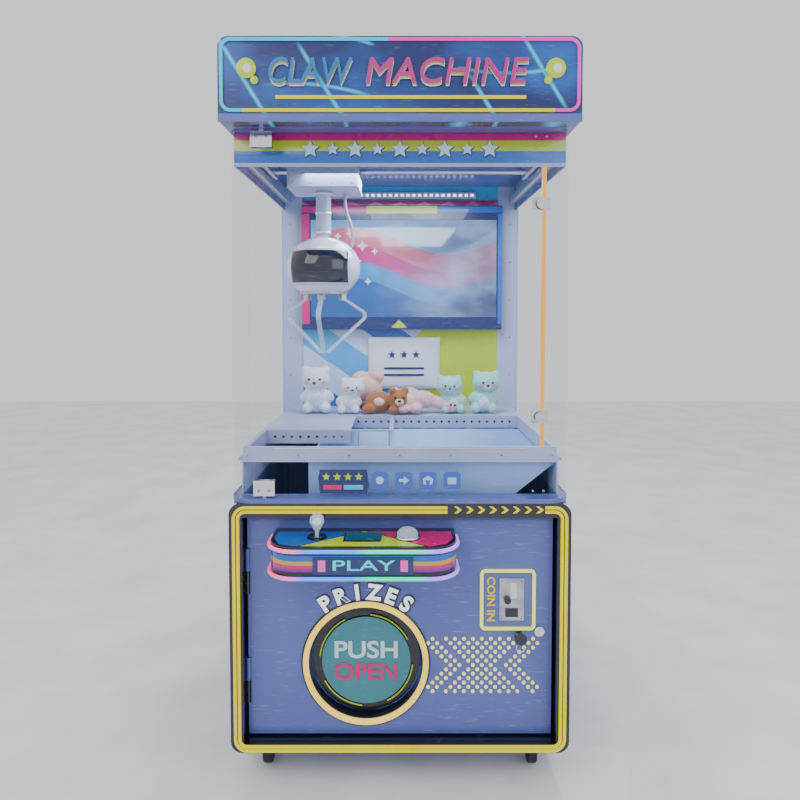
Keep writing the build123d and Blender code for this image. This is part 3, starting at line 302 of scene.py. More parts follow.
def surface(name, group, values, bump=0.1, metallic=0.0, coat=0.0, emission=0.0, source=None):
    """A Principled material whose colour, roughness and bump come from one of the groups.

    source, if given, is a function of the node tree and the coordinates that returns
    the colour socket of a print, which then feeds the group.
    """
    if name in bpy.data.materials:
        return bpy.data.materials[name]
    if group not in groups:
        groups[group] = GROUP_MAKERS[group]()
    material = bpy.data.materials.new(name)
    material.use_nodes = True
    tree = material.node_tree
    shader = tree.nodes["Principled BSDF"]
    place = tree.nodes.new("ShaderNodeTexCoord").outputs["Object"]
    node = tree.nodes.new("ShaderNodeGroup")
    node.node_tree = groups[group]
    for label, value in values.items():
        node.inputs[label].default_value = value
    tree.links.new(place, node.inputs["Vector"])
    if source:
        tree.links.new(source(tree, place), node.inputs["Colour"])
    tree.links.new(node.outputs["Colour"], shader.inputs["Base Color"])
    tree.links.new(node.outputs["Roughness"], shader.inputs["Roughness"])
    height = tree.nodes.new("ShaderNodeBump")
    height.inputs["Strength"].default_value = bump
    height.inputs["Distance"].default_value = 0.0006
    tree.links.new(node.outputs["Height"], height.inputs["Height"])
    tree.links.new(height.outputs["Normal"], shader.inputs["Normal"])
    shader.inputs["Metallic"].default_value = metallic
    shader.inputs["Coat Weight"].default_value = coat
    if emission:
        tree.links.new(node.outputs["Colour"], shader.inputs["Emission Color"])
        shader.inputs["Emission Strength"].default_value = emission
    return material


# ---- Finishes ----

def body_paint():
    """Lavender powder coat of the base, door and roof."""
    return surface("lavender powder coat", "paint", {
        "Colour": colours().body, "Worn": (0.42, 0.47, 0.72, 1), "Peel": 700.0, "Wear": 0.35, "Gloss": 0.34},
        bump=0.12, coat=0.25)


def black_moulding():
    """Gloss black moulding of the surround and the sleeve."""
    return surface("black moulding", "paint", {
        "Colour": colours().trim, "Worn": (0.05, 0.06, 0.10, 1), "Peel": 420.0, "Wear": 0.5, "Gloss": 0.14},
        bump=0.06, coat=0.6)


def white_paint():
    """Bluish white powder coat inside the play space."""
    return surface("white powder coat", "paint", {
        "Colour": colours().white, "Worn": (0.32, 0.36, 0.48, 1), "Peel": 800.0, "Wear": 0.3, "Gloss": 0.38},
        bump=0.1)


def pale_blue_paint():
    """Pale blue powder coat of the hopper and chute."""
    return surface("pale blue powder coat", "paint", {
        "Colour": (0.25, 0.42, 0.76, 1), "Worn": (0.5, 0.6, 0.8, 1), "Peel": 800.0, "Wear": 0.5, "Gloss": 0.4},
        bump=0.1)


def white_moulding():
    """Glossy white plastic of the claw's head and the dome."""
    return surface("white moulding", "paint", {
        "Colour": (0.70, 0.76, 0.92, 1), "Worn": (0.4, 0.44, 0.55, 1),
        "Peel": 300.0, "Wear": 0.15, "Gloss": 0.16},
        bump=0.04, coat=0.7)


def plain_print(name, shade, gloss=0.3, glow=0.0):
    """A laminated print of one ink."""
    return surface(name, "paint", {
        "Colour": shade, "Worn": (0.8, 0.82, 0.9, 1), "Peel": 500.0, "Wear": 0.12, "Gloss": gloss},
        bump=0.05, coat=0.4, emission=glow)


def navy_print():
    """Dark navy ink."""
    return plain_print("navy print", (0.005, 0.02, 0.12, 1))


def hue_print(hue):
    """One of the print colours of the scene's properties, by its name."""
    return plain_print(f"{hue} print", tuple(getattr(colours(), hue)))


def zinc():
    """Zinc plated steel."""
    return surface("zinc plate", "metal", {
        "Colour": (0.58, 0.60, 0.66, 1), "Grain": 45.0, "Tarnish": 0.45, "Gloss": 0.3},
        bump=0.25, metallic=1.0)


def chrome():
    """Polished plating of locks and fittings."""
    return surface("chrome plate", "metal", {
        "Colour": (0.78, 0.80, 0.86, 1), "Grain": 30.0, "Tarnish": 0.15, "Gloss": 0.1},
        bump=0.06, metallic=1.0)


def brushed_aluminium():
    """Anodised bar of the gantry."""
    return surface("brushed aluminium", "metal", {
        "Colour": (0.70, 0.73, 0.80, 1), "Grain": 80.0, "Tarnish": 0.2, "Gloss": 0.28},
        bump=0.3, metallic=0.9)


def rubber():
    """Caster tread."""
    return surface("caster rubber", "paint", {
        "Colour": (0.012, 0.012, 0.014, 1), "Worn": (0.12, 0.12, 0.12, 1),
        "Peel": 260.0, "Wear": 0.8, "Gloss": 0.6},
        bump=0.4)


def circuit_board():
    """Green solder mask over copper."""
    return surface("solder mask", "metal", {
        "Colour": (0.02, 0.16, 0.05, 1), "Grain": 160.0, "Tarnish": 0.5, "Gloss": 0.35},
        bump=0.5, metallic=0.1)


def brass():
    """Gold coloured trim."""
    return surface("gold trim", "metal", {
        "Colour": (0.78, 0.55, 0.16, 1), "Grain": 40.0, "Tarnish": 0.3, "Gloss": 0.22},
        bump=0.2, metallic=1.0)


def lit(name, shade, strength, unevenness=0.3):
    """A glowing diffuser: dark unlit, so that its own light keeps its colour."""
    material = surface(name, "glow", {"Colour": shade, "Beads": 60.0, "Unevenness": unevenness}, bump=0.05,
                       emission=strength)
    tree = material.node_tree
    target = tree.nodes["Principled BSDF"].inputs["Base Color"]
    for link in list(target.links):
        tree.links.remove(link)
    target.default_value = (0.12 * shade[0], 0.12 * shade[1], 0.12 * shade[2], 1)
    return material


def plush(name, shade):
    """Short pile fabric of one colour, with a soft sheen."""
    material = surface(name, "pile", {"Colour": shade, "Tuft": 240.0}, bump=0.9)
    shader = material.node_tree.nodes["Principled BSDF"]
    shader.inputs["Sheen Weight"].default_value = 0.5
    shader.inputs["Sheen Roughness"].default_value = 0.4
    return material


def clear(name, tint, opacity, gloss=0.05):
    """Clear sheet or moulding: see-through, with a hard gloss and faint smears."""
    if name in bpy.data.materials:
        return bpy.data.materials[name]
    material = surface(name, "paint", {
        "Colour": tint, "Worn": (0.9, 0.95, 1.0, 1), "Peel": 30.0, "Wear": 0.3, "Gloss": gloss}, bump=0.01)
    tree = material.node_tree
    shader = tree.nodes["Principled BSDF"]
    place = tree.nodes.new("ShaderNodeTexCoord").outputs["Object"]
    smear = noise(tree, place, 7.0, 5.0, stretch=(1.0, 1.0, 0.35))
    tree.links.new(spread(tree, smear, 0.45, 0.8, opacity, 1.5 * opacity), shader.inputs["Alpha"])
    shader.inputs["Specular IOR Level"].default_value = 0.7
    material.surface_render_method = "BLENDED"
    return material


# ---- Modelling helpers ----

def deselect():
    """Object mode, with nothing selected."""
    if bpy.context.object and bpy.context.object.mode != "OBJECT":
        bpy.ops.object.mode_set(mode="OBJECT")
    bpy.ops.object.select_all(action="DESELECT")


def select(piece):
    """Only this piece, active and selected."""
    deselect()
    bpy.context.view_layer.objects.active = piece
    piece.select_set(True)


def settle(piece):
    """Put the piece's place into its mesh, with its object at the origin."""
    select(piece)
    bpy.ops.object.transform_apply(location=True, rotation=True, scale=True)
    return piece


def apply_modifier(piece, kind, **settings):
    """Add one modifier and apply it."""
    select(piece)
    modifier = piece.modifiers.new(kind.title(), kind)
    for key, value in settings.items():
        setattr(modifier, key, value)
    bpy.ops.object.modifier_apply(modifier=modifier.name)
    return piece


def round_edges(piece, width, segments=2, angle=0.6):
    """Bevel the piece's sharp edges and shade it smooth by angle."""
    apply_modifier(piece, "BEVEL", width=width, segments=segments, limit_method="ANGLE", angle_limit=angle)
    select(piece)
    bpy.ops.object.shade_smooth_by_angle(angle=0.7)
    return piece


def tag(piece, name, material, body):
    """Name the piece, give it its material and slot, and let it ride on its body."""
    piece.name = name
    piece.data.name = name
    piece.data.materials.clear()
    piece.data.materials.append(material)
    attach(piece, body)
    return piece


def block(low, high, bevel=0.0008):
    """A block between two corners with rounded edges."""
    low, high = Vector(low), Vector(high)
    deselect()
    bpy.ops.mesh.primitive_cube_add(size=1.0, location=(low + high) / 2, scale=high - low)
    piece = settle(bpy.context.object)
    return round_edges(piece, bevel) if bevel else piece


def disc(centre, radius, thickness, axis="Y", bevel=0.0006, sides=48):
    """A short cylinder about a main axis, centred on a point."""
    turn = {"X": (0, pi / 2, 0), "Y": (pi / 2, 0, 0), "Z": (0, 0, 0)}[axis]
    deselect()
    bpy.ops.mesh.primitive_cylinder_add(
        vertices=sides, radius=radius, depth=thickness, location=centre, rotation=turn)
    piece = settle(bpy.context.object)
    return round_edges(piece, bevel) if bevel else piece


def ball(centre, radius, squash=(1, 1, 1), rings=16):
    """A smooth ellipsoid."""
    deselect()
    bpy.ops.mesh.primitive_uv_sphere_add(
        segments=2 * rings, ring_count=rings, radius=radius, location=centre, scale=squash)
    piece = settle(bpy.context.object)
    bpy.ops.object.shade_smooth()
    return piece


def join(pieces):
    """One object out of several."""
    deselect()
    for piece in pieces:
        piece.select_set(True)
    bpy.context.view_layer.objects.active = pieces[0]
    if len(pieces) > 1:
        bpy.ops.object.join()
    return bpy.context.object


def copy_to(piece, offset):
    """A copy of the piece with its own mesh, moved by an offset."""
    twin = piece.copy()
    twin.data = piece.data.copy()
    bpy.context.collection.objects.link(twin)
    twin.data.transform(Matrix.Translation(Vector(offset)))
    return twin


def tube(points, radius, closed=False, resolution=3, smooth=False):
    """A round tube along points, made a mesh."""
    curve = bpy.data.curves.new("run", "CURVE")
    curve.dimensions = "3D"
    curve.bevel_depth = radius
    curve.bevel_resolution = resolution
    curve.use_fill_caps = not closed
    spline = curve.splines.new("NURBS" if smooth else "POLY")
    spline.points.add(len(points) - 1)
    for slot, point in zip(spline.points, points):
        slot.co = (*point, 1.0)
    spline.use_cyclic_u = closed
    if smooth:
        spline.order_u = 3
        spline.use_endpoint_u = True
    piece = bpy.data.objects.new("run", curve)
    bpy.context.collection.objects.link(piece)
    select(piece)
    bpy.ops.object.convert(target="MESH")
    piece = bpy.context.object
    bpy.ops.object.shade_smooth()
    return piece


def hoop(centre, radius, thickness, count, axis="Y", resolution=3):
    """A closed round tube about the upright axis or the player's line of sight."""
    centre = Vector(centre)
    points = []
    for step in range(count):
        angle = step * 2 * pi / count
        u, v = radius * cos(angle), radius * sin(angle)
        points.append(centre + Vector((u, 0, v) if axis == "Y" else (u, v, 0)))
    return tube(points, thickness, closed=True, resolution=resolution)


def corner_loop(x0, x1, z0, z1, radius, y, steps=8):
    """Points round a rounded rectangle at one depth, anticlockwise from its bottom left side."""
    centres = ((x1 - radius, z0 + radius, -pi / 2), (x1 - radius, z1 - radius, 0.0),
               (x0 + radius, z1 - radius, pi / 2), (x0 + radius, z0 + radius, pi))
    points = []
    for cx, cz, start in centres:
        for step in range(steps + 1):
            angle = start + step * pi / 2 / steps
            points.append(Vector((cx + radius * cos(angle), y, cz + radius * sin(angle))))
    return points


def outline(points, low_y, high_y, bevel=0.0005):
    """A flat outline of (x, z) points, filled and extruded between two depths."""
    mesh = bpy.data.meshes.new("outline")
    mesh.from_pydata([(x, low_y, z) for x, z in points], [], [list(range(len(points)))])
    piece = bpy.data.objects.new("outline", mesh)
    bpy.context.collection.objects.link(piece)
    select(piece)
    bpy.ops.object.mode_set(mode="EDIT")
    bpy.ops.mesh.select_all(action="SELECT")
    bpy.ops.mesh.extrude_region_move(TRANSFORM_OT_translate={"value": (0, high_y - low_y, 0)})
    bpy.ops.mesh.select_all(action="SELECT")
    bpy.ops.mesh.normals_make_consistent(inside=False)
    bpy.ops.object.mode_set(mode="OBJECT")
    return round_edges(piece, bevel, 1) if bevel else piece


def words(text, height, depth, place, width=None, bold=0.012, shear=0.0):
    """Solid letters that face the player, centred on the place and, if asked, fitted to a width."""
    deselect()
    bpy.ops.object.text_add()
    piece = bpy.context.object
    piece.data.body = text
    piece.data.size = height * 1.38
    piece.data.align_x = "CENTER"
    piece.data.align_y = "CENTER"
    piece.data.extrude = depth / 2
    piece.data.offset = bold * height
    piece.data.shear = shear
    bpy.ops.object.convert(target="MESH")
    piece = bpy.context.object
    if width:
        reach = max(v.co.x for v in piece.data.vertices) - min(v.co.x for v in piece.data.vertices)
        piece.data.transform(Matrix.Diagonal((width / reach, 1, 1, 1)))
    piece.matrix_world = place @ Matrix.Rotation(pi / 2, 4, "X")
    return settle(piece)


def cad(node, material):
    """Give a CAD node its finished material."""
    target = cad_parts[node]
    for index in range(max(1, len(target.material_slots))):
        if index < len(target.material_slots):
            target.material_slots[index].material = material
        else:
            target.data.materials.append(material)


# ---- Prints: shader patterns ----

def along(tree, place, axis):
    """One coordinate of the place, in metres."""
    split = tree.nodes.new("ShaderNodeSeparateXYZ")
    tree.links.new(place, split.inputs[0])
    return split.outputs[axis]


def bands(tree, value, low, high, stops):
    """Hard bands of colour as a value runs from low to high; stops are (share, RGBA)."""
    ramp = tree.nodes.new("ShaderNodeValToRGB")
    ramp.color_ramp.interpolation = "CONSTANT"
    elements = ramp.color_ramp.elements
    while len(elements) < len(stops):
        elements.new(0.5)
    for element, (share, shade) in zip(elements, stops):
        element.position = share
        element.color = shade
    tree.links.new(spread(tree, value, low, high), ramp.inputs["Fac"])
    return ramp.outputs["Color"]


def streak_print(tree, place):
    """Navy with blue glow and bright diagonal and arched streaks."""
    x = along(tree, place, "X")
    z = along(tree, place, "Z")
    cloud = noise(tree, place, 4.0, 2.0, stretch=(1.0, 1.0, 2.2))
    ground = blend_colours(
        tree, spread(tree, cloud, 0.35, 0.7), (0.004, 0.014, 0.12, 1), (0.005, 0.11, 0.48, 1))
    slant = calc(tree, "ADD", calc(tree, "MULTIPLY", x, 5.0), calc(tree, "MULTIPLY", z, 3.1))
    lines = calc(tree, "PINGPONG", slant, 0.46)
    streaks = spread(tree, lines, 0.0, 0.04, 1.0, 0.0)
    keep = spread(tree, noise(tree, place, 2.3, 1.0), 0.47, 0.5)
    arch = calc(
        tree, "ADD", z, calc(tree, "MULTIPLY", calc(tree, "SINE", calc(tree, "MULTIPLY", x, 6.0)), 0.05))
    arches = spread(tree, calc(tree, "PINGPONG", arch, 0.062), 0.0, 0.006, 1.0, 0.0)
    keep_arch = spread(tree, noise(tree, place, 3.1, 1.0), 0.52, 0.55)
    mask = calc(
        tree, "MAXIMUM", calc(tree, "MULTIPLY", streaks, keep), calc(tree, "MULTIPLY", arches, keep_arch))
    return blend_colours(tree, mask, ground, (0.01, 0.62, 1.0, 1))


def header_print(tree, place):
    """Magenta, lime and blue bands over a white lower edge."""
    c = colours()
    return bands(tree, along(tree, place, "Z"), HEADER[0].z, HEADER[1].z, [
        (0.0, (0.72, 0.80, 0.92, 1)), (0.10, tuple(c.blue)), (0.46, tuple(c.lime)), (0.77, tuple(c.magenta))])


def diamond_print(tree, place):
    """Magenta with rows of paler diamonds."""
    x = calc(tree, "PINGPONG", along(tree, place, "X"), 0.045)
    z = calc(tree, "PINGPONG", along(tree, place, "Z"), 0.024)
    lozenge = calc(tree, "ADD", calc(tree, "MULTIPLY", x, 0.6), calc(tree, "MULTIPLY", z, 1.6))
    mask = spread(tree, lozenge, 0.017, 0.019, 1.0, 0.0)
    return blend_colours(tree, mask, (0.42, 0.01, 0.14, 1), (0.78, 0.10, 0.36, 1))


def screen_picture(tree, place):
    """An abstract landscape of soft coloured shapes with sparkles."""
    x = along(tree, place, "X")
    z = along(tree, place, "Z")
    swirl = noise(tree, place, 4.2, 4.0, stretch=(1.0, 1.0, 1.7))
    hill = calc(
        tree, "ADD", z, calc(tree, "MULTIPLY", calc(tree, "SINE", calc(tree, "MULTIPLY", x, 9.0)), 0.05))
    low = (DISPLAY[0].z + DISPLAY[1].z) / 2 - 0.17
    land = bands(tree, hill, low, low + 0.36, [
        (0.0, (0.01, 0.10, 0.36, 1)), (0.22, (0.02, 0.22, 0.55, 1)), (0.40, (0.50, 0.03, 0.18, 1)),
        (0.56, (0.62, 0.14, 0.20, 1)), (0.74, (0.20, 0.38, 0.60, 1))])
    sky = blend_colours(tree, spread(tree, swirl, 0.35, 0.65), (0.03, 0.015, 0.06, 1), (0.30, 0.42, 0.60, 1))
    side = spread(tree, x, -0.12, 0.20)
    return blend_colours(tree, calc(tree, "MULTIPLY", side, 0.75), land, sky)


def back_print(tree, place):
    """Wide diagonal bands of blue, white and lime below the display."""
    x = along(tree, place, "X")
    z = along(tree, place, "Z")
    slant = calc(tree, "ADD", x, calc(tree, "MULTIPLY", z, 1.45))
    c = colours()
    pale = (0.50, 0.62, 0.86, 1)
    wide = bands(tree, slant, 0.9, 2.15, [
        (0.0, tuple(c.blue)), (0.16, pale), (0.28, (0.04, 0.36, 0.75, 1)), (0.42, pale),
        (0.52, tuple(c.blue)), (0.64, pale), (0.76, (0.04, 0.42, 0.80, 1))])
    lime_mask = spread(tree, calc(tree, "SUBTRACT", x, calc(tree, "MULTIPLY", z, 1.2)), -1.32, -1.315)
    right = calc(tree, "MULTIPLY", lime_mask, spread(tree, x, 0.0, 0.005))
    return blend_colours(tree, right, wide, tuple(c.lime))


def side_header_print(tree, place):
    """Dark blue board with thin white and lime lines."""
    z = along(tree, place, "Z")
    lines = calc(
        tree, "PINGPONG", calc(tree, "ADD", z, calc(tree, "MULTIPLY", along(tree, place, "Y"), 0.5)), 0.05)
    ground = blend_colours(tree, spread(tree, noise(tree, place, 6.0, 2.0), 0.3, 0.7),
                           (0.006, 0.02, 0.10, 1), (0.01, 0.10, 0.34, 1))
    return blend_colours(tree, spread(tree, lines, 0.0, 0.003, 1.0, 0.0), ground, tuple(colours().lime))


def rainbow(tree, place):
    """Pink, blue, green and violet along the console's light tubes."""
    ramp = tree.nodes.new("ShaderNodeValToRGB")
    elements = ramp.color_ramp.elements
    stops = [(0.0, (1.0, 0.12, 0.35, 1)), (0.12, (0.9, 0.2, 0.5, 1)), (0.2, (0.12, 0.22, 1.0, 1)),
             (0.45, (0.05, 0.30, 1.0, 1)), (0.55, (0.0, 0.85, 0.40, 1)), (0.78, (0.02, 0.8, 0.45, 1)),
             (0.88, (0.42, 0.22, 1.0, 1)), (1.0, (0.5, 0.25, 1.0, 1))]
    while len(elements) < len(stops):
        elements.new(0.5)
    for element, (share, shade) in zip(elements, stops):
        element.position = share
        element.color = shade
    tree.links.new(spread(tree, along(tree, place, "X"), CONSOLE[0].x, CONSOLE[1].x), ramp.inputs["Fac"])
    return ramp.outputs["Color"]


def printed(name, source, gloss=0.28, glow=0.0, coat=0.4):
    """A laminated or backlit print whose inks come from a pattern."""
    return surface(name, "paint", {
        "Worn": (0.7, 0.75, 0.85, 1), "Peel": 400.0, "Wear": 0.1, "Gloss": gloss},
        bump=0.04, coat=coat, emission=glow, source=source)


# ---- Cabinet ----

def pan_head(centre, radius=3.6 * MM, out=-1.0):
    """A cross-recessed screw head that faces front (out -1) or back (out 1), with a raised cross that carries
    the painted shade of its recess.
    """
    head = ball(centre, radius, (1, 0.45, 1), 8)
    select(head)
    bpy.ops.object.mode_set(mode="EDIT")
    bpy.ops.mesh.select_all(action="SELECT")
    bpy.ops.mesh.bisect(plane_co=centre, plane_no=(0, out, 0), use_fill=True, clear_inner=True)
    bpy.ops.object.mode_set(mode="OBJECT")
    # The cross arms stand proud of the head and carry the painted shade of the recess.
    arms = []
    for size in ((1.2, 0.35), (0.35, 1.2)):
        half = Vector((size[0] * radius * 0.5, 0.1 * radius, size[1] * radius * 0.5))
        mid = Vector(centre) + Vector((0, out * radius * 0.42, 0))
        arms.append(block(mid - half, mid + half, 0))
    return head, join(arms)


def screws(name, centres, body, out=-1.0, radius=3.6 * MM):
    """A group of like screws: plated heads, and black cross shapes that paint the shade in their recesses."""
    head, cross = pan_head((0, 0, 0), radius, out)
    heads = [copy_to(head, c) for c in centres]
    shade_crosses = [copy_to(cross, c) for c in centres]
    for spare in (head, cross):
        bpy.data.objects.remove(spare)
    tag(join(heads), name, zinc(), body)
    # The black moulding on the cross shapes is painted shade in the screw recesses, not a black part.
    tag(join(shade_crosses), name + "_recesses", black_moulding(), body)


class CRANE_OT_cabinet(bpy.types.Operator):
    """Finishes for the panels, prints and fittings that come from the frame"""
    bl_idname = "crane.cabinet"
    bl_label = "Cabinet finishes"

    def execute(self, context):
        paint, white, pale, black = body_paint(), white_paint(), pale_blue_paint(), black_moulding()
        glass = clear("tempered glass", (0.20, 0.32, 0.60, 1), 0.012)
        acrylic = clear("clear acrylic", (0.22, 0.36, 0.70, 1), 0.045)
        moulded = clear("clear moulded claw", (0.80, 0.90, 1.0, 1), 0.34, 0.08)
        finishes = {
            paint: "base_floor base_side_left base_side_right base_back_panel base_sill roof_panel "
                   "base_door_panel",
            black: "front_surround prize_sleeve joystick_bracket joystick_gimbal coin_key "
                   "coin_return_button",
            white: "deck_rails rear_deck side_shelf rear_columns mast_outer carriage_housing",
            pale: "prize_hopper prize_chute",
            zinc(): "cash_box caster_mounts hoist_motor claw_hub caster_fork_left caster_fork_right "
                    "coin_acceptor bridge_axle_front bridge_axle_rear",
            brushed_aluminium(): "gantry_rails bridge_frame mast_middle",
            chrome(): "glass_door_fittings door_lock",
            rubber(): "caster_wheel_front_left caster_wheel_front_right caster_wheel_rear_left "
                      "caster_wheel_rear_right",
            white_moulding(): "claw_head_shell",
            circuit_board(): "control_electronics",
            glass: "glass_door_pane",
            acrylic: "side_glass_left side_glass_right",
            moulded: "claw_finger_1 claw_finger_2 claw_finger_3",
            printed("back wall print", back_print): "back_wall",
            printed("side header print", side_header_print): "header_boards",
            printed("marquee streaks", streak_print, glow=0.12): "marquee_box",
            plain_print("display case", (0.006, 0.02, 0.12, 1)): "display_panel",
            lit("dome diffuser", (0.62, 0.74, 1.0, 1), 0.55): "dome_button",
            plain_print("flap disc black", (0.006, 0.007, 0.010, 1), 0.2): "prize_flap",
            plain_print("console shell black", (0.008, 0.009, 0.015, 1), 0.25): "console_shell",
            plain_print("console plate black", (0.01, 0.011, 0.02, 1), 0.22): "console_top",
        }
        for material, names in finishes.items():
            for name in names.split():
                cad(name, material)
        return {"FINISHED"}


class CRANE_OT_cabinet_lights(bpy.types.Operator):
    """Neon tubes of the surround, the corner tube and the ceiling strip"""
    bl_idname = "crane.cabinet_lights"
    bl_label = "Cabinet lights"

    def execute(self, context):
        c, radius = colours(), sizes().tube
        yellow = lit("yellow neon", c.yellow, 1.0, 0.2)
        low, high = SURROUND
        y = FRONT_Y - radius
        gap = (0.121, 0.372)
        runs = []
        for step in range(2):
            inset = (13.5 + 11.0 * step) * MM
            corner = (30.0 - 11.0 * step) * MM
            loop = corner_loop(
                low.x + inset, high.x - inset, low.z + inset - 0.005, high.z - inset + 0.004, corner, y)
            z = high.z - inset + 0.004
            open_loop = [Vector((gap[0], y, z))] + loop[18:] + loop[:18] + [Vector((gap[1], y, z))]
            runs.append(tube(open_loop, radius))
        neon = tag(join(runs), "surround_neon_tubes", yellow, "cabinet")
        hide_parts("cabinet_light_tubes")

        arrows = []
        z = high.z - 15.5 * MM
        for index in range(8):
            x = gap[0] + 0.018 + index * 0.030
            arm, half, thick = 0.011, 0.0085, 0.008
            points = [(x, z - half), (x + arm, z), (x, z + half), (x + thick, z + half),
                      (x + arm + thick, z), (x + thick, z - half)]
            arrows.append(outline(points, FRONT_Y - 4 * MM, FRONT_Y))
        tag(join(arrows), "surround_chevrons", yellow, "cabinet")

        x, foot = RAILS[1].x - 57 * MM, RAILS[0].y + 6 * MM
        warm = lit("warm corner light", (1.0, 0.42, 0.02, 1), 1.3)
        post = tube([(x, foot, z) for z in (DECK[1].z, 1.1, 1.35, HEADER[0].z)], 6 * MM)
        tag(post, "corner_light_tube", warm, "cabinet")

        back = BACK_WALL[0].y
        strip = block((-0.27, back - 0.016, ROOF[0].z - 0.030), (0.28, back, ROOF[0].z - 0.006), 0.002)
        tag(strip, "ceiling_strip_channel", white_paint(), "cabinet")
        lamps = [block((-0.255 + i * 0.0215, back - 0.019, ROOF[0].z - 0.022),
                       (-0.245 + i * 0.0215, back - 0.016, ROOF[0].z - 0.014), 0.0008) for i in range(25)]
        tag(
            join(lamps), "ceiling_strip_lamps", lit("cool white lamps", (0.75, 0.9, 1.0, 1), 3.0),
            "cabinet")
        return {"FINISHED"}


class CRANE_OT_marquee(bpy.types.Operator):
    """The light box face with its neon border, raised words and lamps"""
    bl_idname = "crane.marquee"
    bl_label = "Marquee"

    def execute(self, context):
        c, radius = colours(), sizes().tube
        low, high = MARQUEE
        floor = ROOF[1].z
        front = low.y
        y = front - radius
        lip_foot = PANE[1].z + 4 * MM
        lip = outline([(low.x, lip_foot), (high.x, lip_foot), (high.x, floor + 2 * MM),
                       (low.x, floor + 2 * MM)], front - 3 * MM, front, 0.001)
        tag(lip, "marquee_lip", body_paint(), "cabinet")
        loop = corner_loop(low.x + 10 * MM, high.x - 10 * MM, floor + 9 * MM, high.z - 9 * MM, 22 * MM, y)
        top, bottom = high.z - 9 * MM, floor + 9 * MM
        yellow_ends = (-0.379, 0.372)
        split = -0.029
        cyan = [Vector((split, y, top))] + loop[18:36] + [Vector((yellow_ends[0], y, bottom))]
        pink = [Vector((yellow_ends[1], y, bottom))] + loop[0:18] + [Vector((split, y, top))]
        bar = [Vector((yellow_ends[0], y, bottom)), Vector((yellow_ends[1], y, bottom))]
        tag(tube(cyan, radius), "marquee_neon_cyan", lit("cyan neon", c.cyan, 0.95), "cabinet")
        tag(tube(pink, radius), "marquee_neon_pink", lit("pink neon", c.pink, 0.95), "cabinet")
        yellow = lit("yellow neon", c.yellow, 1.0, 0.2)
        under = [Vector((-0.299, y, floor + 40 * MM)), Vector((0.303, y, floor + 40 * MM))]
        tag(
            join([tube(bar, radius), tube(under, radius)]), "marquee_neon_yellow", yellow, "cabinet")

        height = sizes().letters
        z = floor + 98 * MM
        for text, x, width, shade in (("CLAW", -0.222, 0.200, "cyan"), ("MACHINE", 0.106, 0.390, "pink")):
            ink = (0.0, 0.36, 0.95, 1) if shade == "cyan" else (0.90, 0.05, 0.50, 1)
            layers = (
                (12.0, 0.0, lit(f"{shade} letter face", ink, 0.55), "face"),
                (8.0, 3.0, brass(), "gold"),
                (4.0, 6.5, plain_print("white outline", (0.72, 0.8, 0.9, 1)), "white"),
                (1.0, 4.5, black_moulding(), "shadow"),
            )
            for out, drop, material, label in layers:
                place = Matrix.Translation((x + 0.2 * drop * MM, front - out * MM, z - drop * MM))
                layer = words(text, height, 3.5 * MM, place, width=width, bold=0.0, shear=0.18)
                tag(layer, f"marquee_word_{shade}_{label}", material, "cabinet")

        lime = lit("lime lamp", (0.70, 0.92, 0.02, 1), 0.8)
        for side, x, small_x in (("left", -0.369, -0.350), ("right", 0.374, 0.356)):
            rim = disc((x, front - 6 * MM, floor + 108 * MM), 23 * MM, 12 * MM, bevel=0.003)
            bead = disc((small_x, front - 5 * MM, floor + 80 * MM), 9 * MM, 10 * MM, bevel=0.003)
            tag(join([rim, bead]), f"marquee_lamp_{side}", lime, "cabinet")
            pearl = ball((x + 3 * MM, front - 11 * MM, floor + 106 * MM), 11 * MM, (1, 0.35, 1), 12)
            tag(
                pearl, f"marquee_pearl_{side}", lit("pearl lamp", (0.8, 0.86, 0.95, 1), 1.0), "cabinet")
        return {"FINISHED"}


# ---- Play space ----

class CRANE_OT_header(bpy.types.Operator):
    """The striped board across the front under the roof, with stars in place of a name"""
    bl_idname = "crane.header"
    bl_label = "Header board"

    def execute(self, context):
        low, high = HEADER
        y = low.y
        board = block((low.x, y - 2 * MM, low.z), (high.x, y, high.z - 1 * MM), 0.0005)
        tag(board, "header_stripes", printed("header stripes", header_print), "cabinet")
        edge = outline([(low.x, low.z), (high.x, low.z), (high.x, low.z + 7 * MM), (low.x, low.z + 7 * MM)],
                       y - 5 * MM, y - 2 * MM, 0.001)
        tag(edge, "header_white_edge", white_paint(), "cabinet")
        shapes, shadows = [], []
        for index in range(9):
            x = (index - 4) * 0.058
            size = 0.024 if index % 2 == 0 else 0.017
            centre = (x, (low.z + high.z) / 2 + 0.001)
            shapes.append(star(centre, size, y - 5 * MM, y - 2 * MM))
            shadows.append(star(
                (x + 1.5 * MM, centre[1] - 1.5 * MM), size + 3 * MM, y - 3.4 * MM, y - 2 * MM))
        tag(join(shapes), "header_stars", plain_print("pearl print", PEARL), "cabinet")
        tag(join(shadows), "header_star_shadows", navy_print(), "cabinet")
        return {"FINISHED"}


def star(centre, size, low_y, high_y, points=5):
    """A raised star."""
    cx, cz = centre
    rim = []
    for index in range(2 * points):
        reach = size if index % 2 == 0 else size * 0.46
        angle = pi / 2 + index * pi / points
        rim.append((cx + reach * cos(angle), cz + reach * sin(angle)))
    return outline(rim, low_y, high_y, 0.0004)


